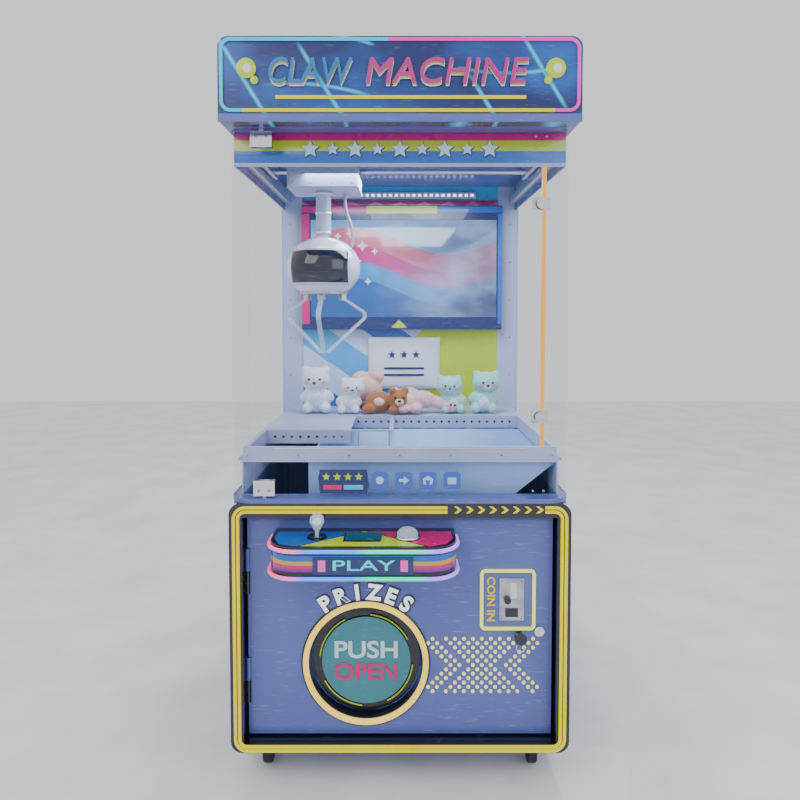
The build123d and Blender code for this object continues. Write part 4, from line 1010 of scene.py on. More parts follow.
class CRANE_OT_display(bpy.types.Operator):
    """The display's bezel, its lit picture and the prints round it"""
    bl_idname = "crane.display"
    bl_label = "Display"

    def execute(self, context):
        low, high = DISPLAY
        y = low.y
        screen_low = Vector((low.x + 33 * MM, y, low.z + 45 * MM))
        screen_high = Vector((high.x - 19 * MM, y, high.z - 52 * MM))
        picture = block((screen_low.x + 0.5 * MM, y + 1 * MM, screen_low.z + 0.5 * MM),
                        (screen_high.x - 0.5 * MM, y + 5.5 * MM, screen_high.z - 0.5 * MM), 0.0005)
        tag(picture, "display_picture", printed("screen picture", screen_picture, 0.12, 0.15), "cabinet")
        sparkles = []
        for index in range(7):
            x = screen_low.x + 0.10 + 0.045 * (index % 4) + 0.02 * (index // 4)
            z = screen_high.z - 0.06 - 0.055 * (index // 2) + 0.01 * (index % 3)
            sparkles.append(star((x, z), 0.014 + 0.004 * (index % 3), y + 0.4 * MM, y + 1 * MM, 4))
        tag(join(sparkles), "display_sparkles", lit("screen sparkle", (0.95, 0.97, 1.0, 1), 0.9), "cabinet")
        mid = (low.x + high.x) / 2 - 0.01
        strips = (
            ("display_trim_left", hue_print("magenta"),
             (low.x, low.z + 0.02), (screen_low.x - 4 * MM, high.z - 0.03)),
            ("display_trim_right", hue_print("blue"),
             (screen_high.x + 4 * MM, low.z + 0.02), (high.x, high.z - 0.03)),
            ("display_trim_top_left", hue_print("magenta"),
             (low.x, high.z - 0.026), (mid - 0.12, high.z - 0.004)),
            ("display_trim_top", hue_print("lime"),
             (mid - 0.12, high.z - 0.030), (mid + 0.14, high.z - 0.002)),
            ("display_trim_top_right", hue_print("blue"),
             (mid + 0.14, high.z - 0.026), (high.x, high.z - 0.004)),
            ("display_trim_foot", navy_print(), (low.x, low.z), (high.x, low.z + 0.018)),
        )
        for name, material, first, last in strips:
            strip = outline([first, (last[0], first[1]), last, (first[0], last[1])], y - 1.2 * MM, y, 0.0004)
            tag(strip, name, material, "cabinet")
        peak = outline([(mid - 0.03, low.z + 0.006), (mid + 0.03, low.z + 0.006), (mid, low.z + 0.036)],
                       y - 2 * MM, y - 1 * MM, 0.0004)
        tag(peak, "display_peak", hue_print("lime"), "cabinet")
        wall_y = BACK_WALL[0].y
        band = block(
            (BACK_WALL[0].x, wall_y - 2 * MM, high.z + 2 * MM), (BACK_WALL[1].x, wall_y, high.z + 0.024),
            0.0004)
        tag(band, "diamond_band", printed("diamond band", diamond_print), "cabinet")
        panel = block(
            (BACK_WALL[0].x, wall_y - 3 * MM, high.z + 0.026), (BACK_WALL[1].x, wall_y, ROOF[0].z - 0.032),
            0.001)
        tag(panel, "upper_back_panel", white_paint(), "cabinet")
        sides = []
        for x0, x1 in ((BACK_WALL[0].x, low.x - 1 * MM), (high.x + 1 * MM, BACK_WALL[1].x)):
            if x1 > x0:
                sides.append(block((x0, wall_y - 3 * MM, 0.90), (x1, wall_y, high.z), 0.001))
        if sides:
            tag(join(sides), "column_faces", white_paint(), "cabinet")
        rows = [1.0 + 0.14 * i for i in range(5)]
        columns = (COLUMNS[0].x + 0.030, COLUMNS[1].x - 0.030)
        centres = [(x, COLUMNS[0].y - SCREW_SEAT, z) for x in columns for z in rows]
        centres += [(x, wall_y - 3.2 * MM, high.z + 0.040) for x in (-0.30, -0.08, 0.08, 0.20, 0.32)]
        screws("back_screws", centres, "cabinet")
        paper = notice(wall_y)
        tag(
            paper, "paper_notice", plain_print("notice paper", (0.70, 0.76, 0.88, 1), 0.6), "cabinet")
        stars = [star((-0.119 + 0.134 + 0.045 * (i - 1), 1.075), 0.015, wall_y - 6.5 * MM, wall_y - 5 * MM)
                 for i in range(3)]
        lines = [block((-0.06, wall_y - 6 * MM, z), (0.09, wall_y - 5 * MM, z + 0.008), 0.0004)
                 for z in (1.02, 0.995)]
        tag(join(stars + lines), "notice_marks", navy_print(), "cabinet")
        return {"FINISHED"}


def notice(wall_y):
    """A sheet of paper taped to the back wall, its corners a little curled."""
    deselect()
    bpy.ops.mesh.primitive_grid_add(x_subdivisions=14, y_subdivisions=10, size=1.0)
    sheet = bpy.context.object
    width, tall, centre_x, centre_z = 0.268, 0.194, 0.015, 1.044
    for vertex in sheet.data.vertices:
        u, v = vertex.co.x, vertex.co.y
        curl = 0.010 * (4 * u * u * v * v) * 4 + 0.0012 * sin(9 * u + 4 * v)
        vertex.co = (centre_x + width * u, wall_y - 3 * MM - curl, centre_z + tall * v)
    apply_modifier(sheet, "SOLIDIFY", thickness=0.0006, offset=0.0)
    bpy.ops.object.shade_smooth()
    return sheet


class CRANE_OT_deck_details(bpy.types.Operator):
    """Rims, corner brackets, hopper print and screws on the deck"""
    bl_idname = "crane.deck_details"
    bl_label = "Deck details"

    def execute(self, context):
        low, high = RAILS
        y = low.y
        clear_of_pivot = 0.100
        x0, x1 = low.x + clear_of_pivot, high.x - clear_of_pivot
        z0, z1 = high.z - 6 * MM, high.z - 2 * MM
        trim = outline([(x0, z0), (x1, z0), (x1, z1), (x0, z1)], y - 1.5 * MM, y, 0.0006)
        tag(trim, "front_rail_bead", brushed_aluminium(), "cabinet")
        centres = [(low.x + 0.03 + i * (high.x - low.x - 0.06) / 6, y - SCREW_SEAT, high.z - 0.022)
                   for i in range(7)]
        screws("front_rail_screws", centres, "cabinet", radius=3.0 * MM)
        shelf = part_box("side_shelf")
        legs = []
        for x in (shelf[1].x - 0.105, shelf[1].x - 0.012):
            leg = tube([Vector((x, shelf[0].y + 6 * MM, shelf[1].z - 4 * MM)),
                        Vector((x, shelf[0].y + 6 * MM, shelf[1].z - 0.12)),
                        Vector((x, shelf[0].y + 30 * MM, shelf[1].z - 0.145))], 2.4 * MM, resolution=2)
            legs.append(leg)
        tag(join(legs), "shelf_legs", white_paint(), "cabinet")
        wall = block(
            (HOPPER[0].x + 0.01, HOPPER[1].y - 0.004, DECK[0].z - 0.075),
            (HOPPER[1].x - 0.01, HOPPER[1].y - 0.001, DECK[0].z), 0.0004)
        tag(wall, "hopper_back_print", printed("crossed print", crossed_print), "cabinet")
        return {"FINISHED"}


def crossed_print(tree, place):
    """Blue with thin crossing pale lines."""
    x, z = along(tree, place, "X"), along(tree, place, "Z")
    rising = calc(tree, "PINGPONG", calc(tree, "ADD", x, calc(tree, "MULTIPLY", z, 2.0)), 0.06)
    falling = calc(tree, "PINGPONG", calc(tree, "SUBTRACT", x, calc(tree, "MULTIPLY", z, 2.6)), 0.075)
    nearest = calc(tree, "MINIMUM", rising, falling)
    return blend_colours(
        tree, spread(tree, nearest, 0.0, 0.004, 1.0, 0.0), (0.02, 0.13, 0.42, 1), (0.35, 0.55, 0.95, 1))


# ---- Soft toys ----

def toy_part(centre, radius, squash=(1, 1, 1), turn=(0, 0, 0)):
    """One stuffed ellipsoid of a toy, turned in place."""
    deselect()
    bpy.ops.mesh.primitive_uv_sphere_add(
        segments=24, ring_count=14, radius=radius, location=centre, scale=squash, rotation=turn)
    return settle(bpy.context.object)


def stuff(parts, name, material, push=0.006):
    """Weld a toy's parts into one skin, swell it as filled cloth and smooth it."""
    skin = join(parts)
    apply_modifier(skin, "REMESH", mode="VOXEL", voxel_size=sizes().voxel)
    start = [vertex.co.copy() for vertex in skin.data.vertices]
    select(skin)
    cloth = skin.modifiers.new("Cloth", "CLOTH")
    cloth.settings.use_pressure = True
    cloth.settings.uniform_pressure_force = 4.0
    cloth.settings.quality = 4
    cloth.settings.mass = 0.3
    cloth.settings.effector_weights.gravity = 0.0
    cloth.point_cache.frame_start = 1
    cloth.point_cache.frame_end = 12
    for step in range(1, 11):
        bpy.context.scene.frame_set(step)
    bpy.ops.object.modifier_apply(modifier=cloth.name)
    bpy.context.scene.frame_set(1)
    for vertex, origin in zip(skin.data.vertices, start):
        move = vertex.co - origin
        if move.length > push:
            vertex.co = origin + move * (push / move.length)
    apply_modifier(skin, "SMOOTH", factor=0.5, iterations=3)
    select(skin)
    bpy.ops.object.shade_smooth()
    tag(skin, name, material, "cabinet")
    return skin


def face_features(name, eyes, nose=None, cheeks=(), size=0.0045, nose_size=0.006):
    """Bead eyes, an oval nose and felt cheeks of a toy."""
    beads = [ball(eye, size, (1, 0.6, 1), 8) for eye in eyes]
    if nose:
        beads.append(ball(nose, nose_size, (1.2, 0.7, 0.8), 8))
    tag(
        join(beads), name + "_eyes", plain_print("bead black", (0.012, 0.010, 0.012, 1), 0.12), "cabinet")
    if cheeks:
        spots = [ball(cheek, 0.007, (1, 0.35, 0.8), 8) for cheek in cheeks]
        tag(
            join(spots), name + "_cheeks", plush("pink felt", (0.85, 0.32, 0.38, 1)), "cabinet")


class CRANE_OT_toys(bpy.types.Operator):
    """Stuffed toys on the rear deck and in the hopper"""
    bl_idname = "crane.toys"
    bl_label = "Soft toys"

    def execute(self, context):
        z, y = DECK[1].z + 0.001, DECK[0].y + 0.075
        white = plush("white plush", (0.78, 0.84, 0.92, 1))
        pale = plush("pale blue plush", (0.55, 0.72, 0.90, 1))
        brown = plush("brown plush", (0.42, 0.15, 0.045, 1))
        pink = plush("pink plush", (0.88, 0.50, 0.58, 1))
        cream = plush("cream plush", (0.85, 0.78, 0.58, 1))
        mint = plush("mint plush", (0.36, 0.76, 0.72, 1))
        made = [self.sitting("toy_white_seated", (-0.290, y, z), 0.052, white, pale, lean=-0.1),
                self.sitting(
                    "toy_white_small", (-0.178, y - 0.018, z), 0.040, white, pale, lean=0.35, wide=1.1)]
        self.whale((-0.118, y + 0.070, z))
        self.bear((-0.052, y - 0.010, z), brown, cream)
        self.long_neck((0.070, y - 0.006, z), pink, cream)
        made.append(self.sitting(
            "toy_mint_small", (0.185, y - 0.004, z), 0.042, mint, white, lean=-0.3, wide=1.15))
        made.append(self.sitting("toy_mint_seated", (0.292, y, z), 0.047, mint, white, lean=0.25, wide=1.1))
        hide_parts("plush_prizes")
        hx, hy, hz = HOPPER[0].x + 0.13, HOPPER[0].y + 0.10, 0.66
        self.sitting("toy_hopper_cream", (hx, hy, hz), 0.042, cream, white, lean=0.4)
        self.sitting("toy_hopper_gold", (hx + 0.10, hy + 0.02, hz - 0.01), 0.042, cream, white, lean=-0.5)
        return {"FINISHED"}

    def sitting(self, name, foot, size, coat, second, lean=0.0, wide=1.0):
        """A seated toy: round body, big head, round ears, arms and feet."""
        x, y, z = foot
        tilt = lean * size
        head = (x + tilt, y - 0.1 * size, z + 2.25 * size)
        parts = [toy_part((x, y, z + 0.86 * size), size, (0.92 * wide, 0.8, 0.9)),
                 toy_part(head, size, (0.98 * wide, 0.82, 0.84))]
        parts += [toy_part((x + side * 0.62 * size, y - 0.5 * size, z + 0.36 * size), 0.42 * size,
                           (0.85, 1.2, 0.8)) for side in (-1, 1)]
        parts += [toy_part((x + side * 0.86 * size, y - 0.25 * size, z + 1.15 * size), 0.34 * size,
                           (0.75, 0.8, 1.35), (0, -0.5 * side, 0)) for side in (-1, 1)]
        parts += [toy_part((head[0] + side * 0.66 * size * wide, y, head[2] + 0.62 * size),
                           0.32 * size, (1, 0.6, 1)) for side in (-1, 1)]
        skin = stuff(parts, name, coat)
        bib = [toy_part((x, y - 0.52 * size, z + 0.84 * size), 0.58 * size, (0.95, 0.55, 0.95)),
               toy_part((head[0], head[1] - 0.62 * size, head[2] - 0.24 * size), 0.36 * size,
                        (1.1, 0.6, 0.8))]
        stuff(bib, name + "_bib", second, 0.002)
        eyes = [(head[0] + side * 0.36 * size, head[1] - 0.80 * size, head[2] + 0.06 * size)
                for side in (-1, 1)]
        nose = (head[0], head[1] - 0.88 * size, head[2] - 0.16 * size)
        cheeks = [(head[0] + side * 0.55 * size, head[1] - 0.70 * size, head[2] - 0.16 * size)
                  for side in (-1, 1)]
        face_features(name, eyes, nose, cheeks, 0.085 * size, 0.10 * size)
        return skin

    def bear(self, foot, coat, second):
        """A brown bear lying on its belly, head to the right."""
        x, y, z = foot
        parts = [toy_part((x - 0.018, y, z + 0.038), 0.040, (1.35, 0.9, 0.92)),
                 toy_part((x + 0.046, y - 0.028, z + 0.052), 0.034, (1.05, 0.9, 0.95)),
                 toy_part((x + 0.026, y - 0.040, z + 0.083), 0.013),
                 toy_part((x + 0.070, y - 0.026, z + 0.082), 0.013),
                 toy_part((x + 0.030, y - 0.048, z + 0.016), 0.016, (1.2, 1.1, 0.9)),
                 toy_part((x - 0.056, y - 0.030, z + 0.018), 0.018, (1.3, 1.1, 0.9)),
                 toy_part((x - 0.070, y + 0.020, z + 0.020), 0.019, (1.2, 1.1, 0.9)),
                 toy_part((x + 0.064, y + 0.014, z + 0.016), 0.016, (1.2, 1.1, 0.9))]
        stuff(parts, "toy_brown_bear", coat, 0.003)
        muzzle = toy_part((x + 0.050, y - 0.056, z + 0.044), 0.016, (1.1, 0.7, 0.8))
        patch = toy_part((x - 0.020, y - 0.030, z + 0.042), 0.018, (1.2, 0.5, 0.9))
        stuff([muzzle, patch], "toy_brown_bear_muzzle", second, 0.001)
        eyes = [(x + 0.036, y - 0.057, z + 0.060), (x + 0.064, y - 0.054, z + 0.060)]
        face_features("toy_brown_bear", eyes, (x + 0.050, y - 0.068, z + 0.050))

    def long_neck(self, foot, coat, second):
        """A pink toy that lies down, its long neck and head stretched to the right."""
        x, y, z = foot
        parts = [toy_part((x - 0.042, y, z + 0.046), 0.046, (1.15, 0.9, 0.95)),
                 toy_part((x + 0.012, y - 0.006, z + 0.048), 0.034, (1.35, 0.9, 0.9), (0, 0.15, 0)),
                 toy_part((x + 0.060, y - 0.010, z + 0.036), 0.024, (1.6, 0.9, 0.9), (0, 0.25, 0)),
                 toy_part((x + 0.104, y - 0.016, z + 0.024), 0.021, (1.35, 1.0, 0.95), (0, 0.2, 0)),
                 toy_part((x - 0.060, y - 0.042, z + 0.020), 0.020, (1.1, 1.3, 0.8)),
                 toy_part((x - 0.016, y - 0.044, z + 0.020), 0.020, (1.1, 1.3, 0.8)),
                 toy_part((x - 0.086, y + 0.004, z + 0.072), 0.014, (0.8, 0.8, 1.4))]
        stuff(parts, "toy_pink_long_neck", coat, 0.004)
        belly = toy_part((x - 0.040, y - 0.030, z + 0.048), 0.024, (1.1, 0.7, 1.0))
        stuff([belly], "toy_pink_long_neck_belly", second, 0.001)
        eyes = [(x + 0.106, y - 0.036, z + 0.032), (x + 0.120, y - 0.032, z + 0.030)]
        face_features("toy_pink_long_neck", eyes)

    def whale(self, foot):
        """A cream and pink toy with a raised tail, behind the bear."""
        x, y, z = foot
        shell = plush("rose plush", (0.86, 0.58, 0.48, 1))
        parts = [toy_part((x, y, z + 0.072), 0.048, (1.15, 0.85, 1.1)),
                 toy_part((x - 0.030, y - 0.006, z + 0.118), 0.026, (1.3, 0.8, 0.8), (0, -0.5, 0)),
                 toy_part((x + 0.030, y - 0.006, z + 0.124), 0.026, (1.3, 0.8, 0.8), (0, 0.5, 0))]
        stuff(parts, "toy_rose_tail", shell, 0.004)


# ---- Stickers on the glass ----

class CRANE_OT_stickers(bpy.types.Operator):
    """Plain pictogram stickers along the foot of the glass"""
    bl_idname = "crane.stickers"
    bl_label = "Glass stickers"

    def execute(self, context):
        y = PANE[0].y
        foot = 0.768
        card = outline(
            [(-0.206, foot), (-0.085, foot), (-0.080, foot + 0.020), (-0.085, foot + 0.062),
             (-0.206, foot + 0.062), (-0.211, foot + 0.040)], y - 0.6 * MM, y, 0.0002)
        tag(card, "sticker_card", navy_print(), "glass_door")
        shapes = [star((-0.190 + 0.028 * i, foot + 0.043), 0.011, y - 1 * MM, y - 0.6 * MM) for i in range(4)]
        tag(join(shapes), "sticker_card_stars", hue_print("lime"), "glass_door")
        bars = [block((-0.198, y - 1 * MM, foot + 0.010), (-0.150, y - 0.6 * MM, foot + 0.022), 0.0003)]
        tag(join(bars), "sticker_card_bar", hue_print("magenta"), "glass_door")
        bars = [block((-0.145, y - 1 * MM, foot + 0.010), (-0.095, y - 0.6 * MM, foot + 0.022), 0.0003)]
        tag(
            join(bars), "sticker_card_second_bar", plain_print("cyan print", (0.03, 0.5, 0.85, 1)),
            "glass_door")
        tiles, marks = [], []
        for index in range(4):
            x = -0.052 + index * 0.062
            tiles.append(outline(square_ring(x, foot + 0.034, 0.022), y - 0.6 * MM, y, 0.0))
            tiles.append(block((x - 0.016, y - 0.6 * MM, foot + 0.001), (x + 0.016, y, foot + 0.006), 0.0002))
            marks.append(self.mark(index, x, foot + 0.034, y))
        tag(
            join(tiles), "sticker_tiles", plain_print("sticker blue", (0.03, 0.12, 0.55, 1)), "glass_door")
        tag(
            join(marks), "sticker_marks", plain_print("sticker pearl", (0.45, 0.62, 0.95, 1)), "glass_door")
        return {"FINISHED"}

    def mark(self, index, x, z, y):
        """A coin, an arrow, a claw and a gift as simple shapes."""
        if index == 0:
            return disc((x, y - 0.8 * MM, z), 0.010, 0.4 * MM, bevel=0, sides=24)
        if index == 1:
            points = [(x - 0.012, z - 0.004), (x, z - 0.004), (x, z - 0.011), (x + 0.013, z), (x, z + 0.011),
                      (x, z + 0.004), (x - 0.012, z + 0.004)]
            return outline(points, y - 1 * MM, y - 0.6 * MM, 0)
        if index == 2:
            points = [(x - 0.011, z - 0.011), (x - 0.004, z - 0.011), (x - 0.007, z), (x + 0.007, z),
                      (x + 0.004, z - 0.011), (x + 0.011, z - 0.011), (x + 0.013, z + 0.004), (x, z + 0.012),
                      (x - 0.013, z + 0.004)]
            return outline(points, y - 1 * MM, y - 0.6 * MM, 0)
        return block((x - 0.011, y - 1 * MM, z - 0.010), (x + 0.011, y - 0.6 * MM, z + 0.007), 0.0003)


def square_ring(x, z, half):
    """A square outline with cut corners."""
    cut = half * 0.25
    return [(x - half + cut, z - half), (x + half - cut, z - half), (x + half, z - half + cut),
            (x + half, z + half - cut), (x + half - cut, z + half), (x - half + cut, z + half),
            (x - half, z + half - cut), (x - half, z - half + cut)]


# ---- Gantry and claw ----

class CRANE_OT_claw(bpy.types.Operator):
    """Dressing of the carriage, mast and claw head"""
    bl_idname = "crane.claw"
    bl_label = "Claw"

    def execute(self, context):
        low, high = HEAD
        centre = (low + high) / 2
        centre.z = low.z + 71.5 * MM
        reach = (high.x - low.x) / 2
        visor = ball(centre, reach * 1.006, (1, 1, 0.856), 32)
        select(visor)
        bpy.ops.object.mode_set(mode="EDIT")
        for point, normal in (
                (centre + Vector((0, 0, 0.046)), (0, 0, -1)), (centre - Vector((0, 0, 0.046)), (0, 0, 1)),
                (centre + Vector((0.078, 0, 0)), (-1, 0, 0)), (centre - Vector((0.088, 0, 0)), (1, 0, 0)),
                (centre - Vector((0, 0.02, 0)), (0, -1, 0))):
            bpy.ops.mesh.select_all(action="SELECT")
            bpy.ops.mesh.bisect(plane_co=point, plane_no=normal, clear_inner=True)
        bpy.ops.object.mode_set(mode="OBJECT")
        apply_modifier(visor, "SOLIDIFY", thickness=0.0012, offset=1.0)
        tag(visor, "claw_head_visor", plain_print("visor black", (0.008, 0.009, 0.014, 1), 0.06), "claw_head")
        seams = []
        for drop in (0.050, -0.052):
            ring_r = reach * (1 - (drop / 0.0935) ** 2) ** 0.5 + 0.2 * MM
            seams.append(hoop(centre + Vector((0, 0, drop)), ring_r, 0.9 * MM, 48, "Z", 1))
        tag(
            join(seams), "claw_head_seams", plain_print("seam grey", (0.20, 0.24, 0.32, 1)), "claw_head")
        cap = disc((centre.x, centre.y, high.z - 3 * MM), 0.030, 5 * MM, axis="Z", bevel=0.0015)
        tag(cap, "claw_head_cap", white_moulding(), "claw_head")
        collars = [disc((centre.x, centre.y, MAST[0].z + dz), 24.5 * MM, 8 * MM, axis="Z", bevel=0.001)
                   for dz in (0.006, 0.064)]
        tag(join(collars), "mast_collars", brushed_aluminium(), "carriage")
        heads = [(CARRIAGE[0].x + dx, CARRIAGE[0].y - SCREW_SEAT, CARRIAGE[0].z + dz)
                 for dx in (0.018, 0.070, 0.130, 0.188) for dz in (0.012, 0.042)]
        screws("carriage_screws", heads, "carriage", radius=2.8 * MM)
        return {"FINISHED"}


class CRANE_OT_conduit(bpy.types.Operator):
    """Corrugated conduit between the carriage and the claw head"""
    bl_idname = "crane.conduit"
    bl_label = "Conduit"

    def execute(self, context):
        low, high = CONDUIT
        radius = 5.5 * MM
        y = (low.y + high.y) / 2
        inner, outer = low.x + radius, high.x - radius
        path = [Vector((inner, y, high.z)), Vector((inner, y, high.z - 0.050)),
                Vector((outer, y, high.z - 0.105)), Vector((outer - 4 * MM, y, low.z))]
        top, foot = path[0].copy(), path[-1].copy()
        for _ in range(4):
            path = softened(path)
        hose = ribbed(path, radius)
        hose.name = "claw_conduit_hose"
        hose.data.materials.clear()
        hose.data.materials.append(plain_print("conduit grey", (0.33, 0.36, 0.42, 1), 0.4))
        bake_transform(hose)
        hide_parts("claw_conduit")
        return {"FINISHED"}


def softened(path):
    """One round of corner cutting that keeps both ends."""
    points = [path[0]]
    for first, second in zip(path, path[1:]):
        points.append(first.lerp(second, 0.25))
        points.append(first.lerp(second, 0.75))
    points.append(path[-1])
    return points


def ribbed(path, radius, pitch=2.2 * MM):
    """A corrugated hose along a path, made a mesh."""
    stations = []
    for first, second in zip(path, path[1:]):
        count = max(1, round((second - first).length / pitch))
        stations += [first.lerp(second, step / count) for step in range(count)]
    stations.append(path[-1])
    curve = bpy.data.curves.new("hose", "CURVE")
    curve.dimensions = "3D"
    curve.bevel_depth = radius
    curve.bevel_resolution = 3
    curve.use_fill_caps = True
    spline = curve.splines.new("POLY")
    spline.points.add(len(stations) - 1)
    for index, (slot, point) in enumerate(zip(spline.points, stations)):
        slot.co = (*point, 1.0)
        slot.radius = 1.0 if index % 2 else 0.80
    piece = bpy.data.objects.new("hose", curve)
    bpy.context.collection.objects.link(piece)
    select(piece)
    bpy.ops.object.convert(target="MESH")
    bpy.ops.object.shade_smooth()
    return bpy.context.object


# ---- Console ----

class CRANE_OT_console(bpy.types.Operator):
    """Printed top, striped sides and rainbow tubes of the control console"""
    bl_idname = "crane.console"
    bl_label = "Console"

    def execute(self, context):
        c = colours()
        low, high = CONSOLE
        top = CONSOLE_PLATE[1].z - 4.8 * MM
        left, right, front, back = low.x + 9 * MM, high.x - 9 * MM, low.y + 9 * MM, FRONT_Y + 4 * MM
        middle = (left + right) / 2
        corner = 0.055
        inks = (
            ("console_print_blue", "blue print", c.blue, [
                (left, back), (left, front + corner), (left + 0.3 * corner, front + 0.3 * corner),
                (left + corner, front), (middle - 0.158, front), (middle - 0.012, back)]),
            ("console_print_lime", "lime print", c.lime, [
                (middle - 0.150, front), (middle + 0.150, front), (middle + 0.004, back),
                (middle - 0.004, back)]),
            ("console_print_magenta", "magenta print", c.magenta, [
                (middle + 0.012, back), (middle + 0.158, front), (right - corner, front),
                (right - 0.3 * corner, front + 0.3 * corner), (right, front + corner), (right, back)]),
        )
        for name, ink, shade, points in inks:
            sheet = flat_sheet(points, top, top + 0.5 * MM)
            tag(sheet, name, plain_print(ink, tuple(shade)), "base_door")
        glass = block(
            (middle - 0.045, front + 0.036, top + 3 * MM), (middle + 0.045, front + 0.092, top + 3.6 * MM),
            0)
        tag(
            glass, "console_window", plain_print("window teal", (0.02, 0.12, 0.20, 1), 0.1), "base_door")
        rows = (
            (0.0206, 0.0276, "violet print", (0.22, 0.01, 0.35, 1)),
            (0.0276, 0.0358, "magenta print", c.magenta),
            (0.0358, 0.0460, "gold print", (0.62, 0.36, 0.03, 1)),
            (0.0460, 0.0604, "blue print", c.blue),
        )
        for index, (z0, z1, ink, shade) in enumerate(rows):
            stripe = self.band(low.z + z0, low.z + z1)
            tag(
                stripe, f"console_stripe_{index + 1}", plain_print(ink, tuple(shade)), "base_door")
        y = low.y - 0.8 * MM
        sign = block((-0.210, y - 1.0 * MM, low.z + 0.014), (0.032, y, low.z + 0.058), 0.0006)
        tag(
            sign, "console_sign_back", plain_print("sign navy", (0.01, 0.03, 0.14, 1)), "base_door")
        place = Matrix.Translation((-0.089, y - 2 * MM, low.z + 0.036))
        name = words("PLAY", 0.026, 1.6 * MM, place, width=0.150, bold=0.01)
        tag(name, "console_sign_word", lit("sign cyan", (0.05, 0.80, 0.95, 1), 1.1), "base_door")
        marks = [block((x - 0.009, y - 2 * MM, low.z + 0.022), (x + 0.009, y - 1 * MM, low.z + 0.050), 0.0004)
                 for x in (-0.188, 0.010)]
        tag(
            join(marks), "console_sign_marks", lit("sign pink", (1.0, 0.15, 0.65, 1), 1.0), "base_door")
        radius = 5 * MM
        rails = [self.edge(z, radius) for z in (high.z - radius, low.z + radius)]
        tag(
            join(rails), "console_edge_tubes", printed("rainbow light", rainbow, 0.3, 0.9, 0.2),
            "base_door")
        return {"FINISHED"}

    def edge(self, z, radius):
        """One tube round the console's outline, open at the cabinet."""
        return tube(self.route(z, radius - 1 * MM), radius)

    def band(self, z0, z1):
        """A printed stripe that wraps the console's front and sides."""
        foot = self.route(z0, 0.4 * MM)
        count = len(foot)
        lift = Vector((0, 0, z1 - z0))
        faces = [(i, i + 1, count + i + 1, count + i) for i in range(count - 1)]
        mesh = bpy.data.meshes.new("stripe")
        mesh.from_pydata(foot + [point + lift for point in foot], [], faces)
        piece = bpy.data.objects.new("stripe", mesh)
        bpy.context.collection.objects.link(piece)
        return apply_modifier(piece, "SOLIDIFY", thickness=0.0003, offset=0.0)

    def route(self, z, out):
        """Points round the console's outline at one level, moved outwards."""
        low, high = CONSOLE
        corner = 0.070
        x0, x1, y0 = low.x - out, high.x + out, low.y - out
        points = [Vector((x0, FRONT_Y, z)), Vector((x0, y0 + corner, z))]
        for step in range(1, 9):
            a = step * pi / 16
            points.append(Vector((x0 + corner * (1 - cos(a)), y0 + corner * (1 - sin(a)), z)))
        for step in range(0, 9):
            a = step * pi / 16
            points.append(Vector((x1 - corner + corner * sin(a), y0 + corner * (1 - cos(a)), z)))
        points.append(Vector((x1, FRONT_Y, z)))
        return points


def flat_sheet(points, z0, z1):
    """A level printed sheet over (x, y) points."""
    mesh = bpy.data.meshes.new("sheet")
    mesh.from_pydata([(x, y, z0) for x, y in points], [], [list(range(len(points)))])
    piece = bpy.data.objects.new("sheet", mesh)
    bpy.context.collection.objects.link(piece)
    select(piece)
    bpy.ops.object.mode_set(mode="EDIT")
    bpy.ops.mesh.select_all(action="SELECT")
    bpy.ops.mesh.extrude_region_move(TRANSFORM_OT_translate={"value": (0, 0, z1 - z0)})
    bpy.ops.mesh.select_all(action="SELECT")
    bpy.ops.mesh.normals_make_consistent(inside=False)
    bpy.ops.object.mode_set(mode="OBJECT")
    return piece


class CRANE_OT_controls(bpy.types.Operator):
    """Knob facets, dust washer and button rim; the dark window between them comes with the console"""
    bl_idname = "crane.controls"
    bl_label = "Controls"

    def execute(self, context):
        cad("joystick", clear("crystal knob", (0.78, 0.88, 1.0, 1), 0.42, 0.04))
        x, y = (KNOB[0].x + KNOB[1].x) / 2, (KNOB[0].y + KNOB[1].y) / 2
        core = ball((x, y, KNOB[1].z - 0.020), 0.0105, (1, 1, 0.9), 10)
        tag(core, "joystick_core", lit("knob core", (0.55, 0.80, 1.0, 1), 1.2), "joystick")
        plate = CONSOLE_PLATE[1].z
        washer = hoop((x, y, plate + 0.4 * MM), 0.020, 1.4 * MM, 36, "Z", 2)
        tag(washer, "joystick_washer_rim", black_moulding(), "base_door")
        bx, by = (DOME[0].x + DOME[1].x) / 2, (DOME[0].y + DOME[1].y) / 2
        rim = hoop((bx, by, plate - 1.0 * MM), 0.0295, 2.4 * MM, 48, "Z")
        tag(rim, "dome_button_rim", chrome(), "base_door")
        return {"FINISHED"}


# ---- Prize opening ----

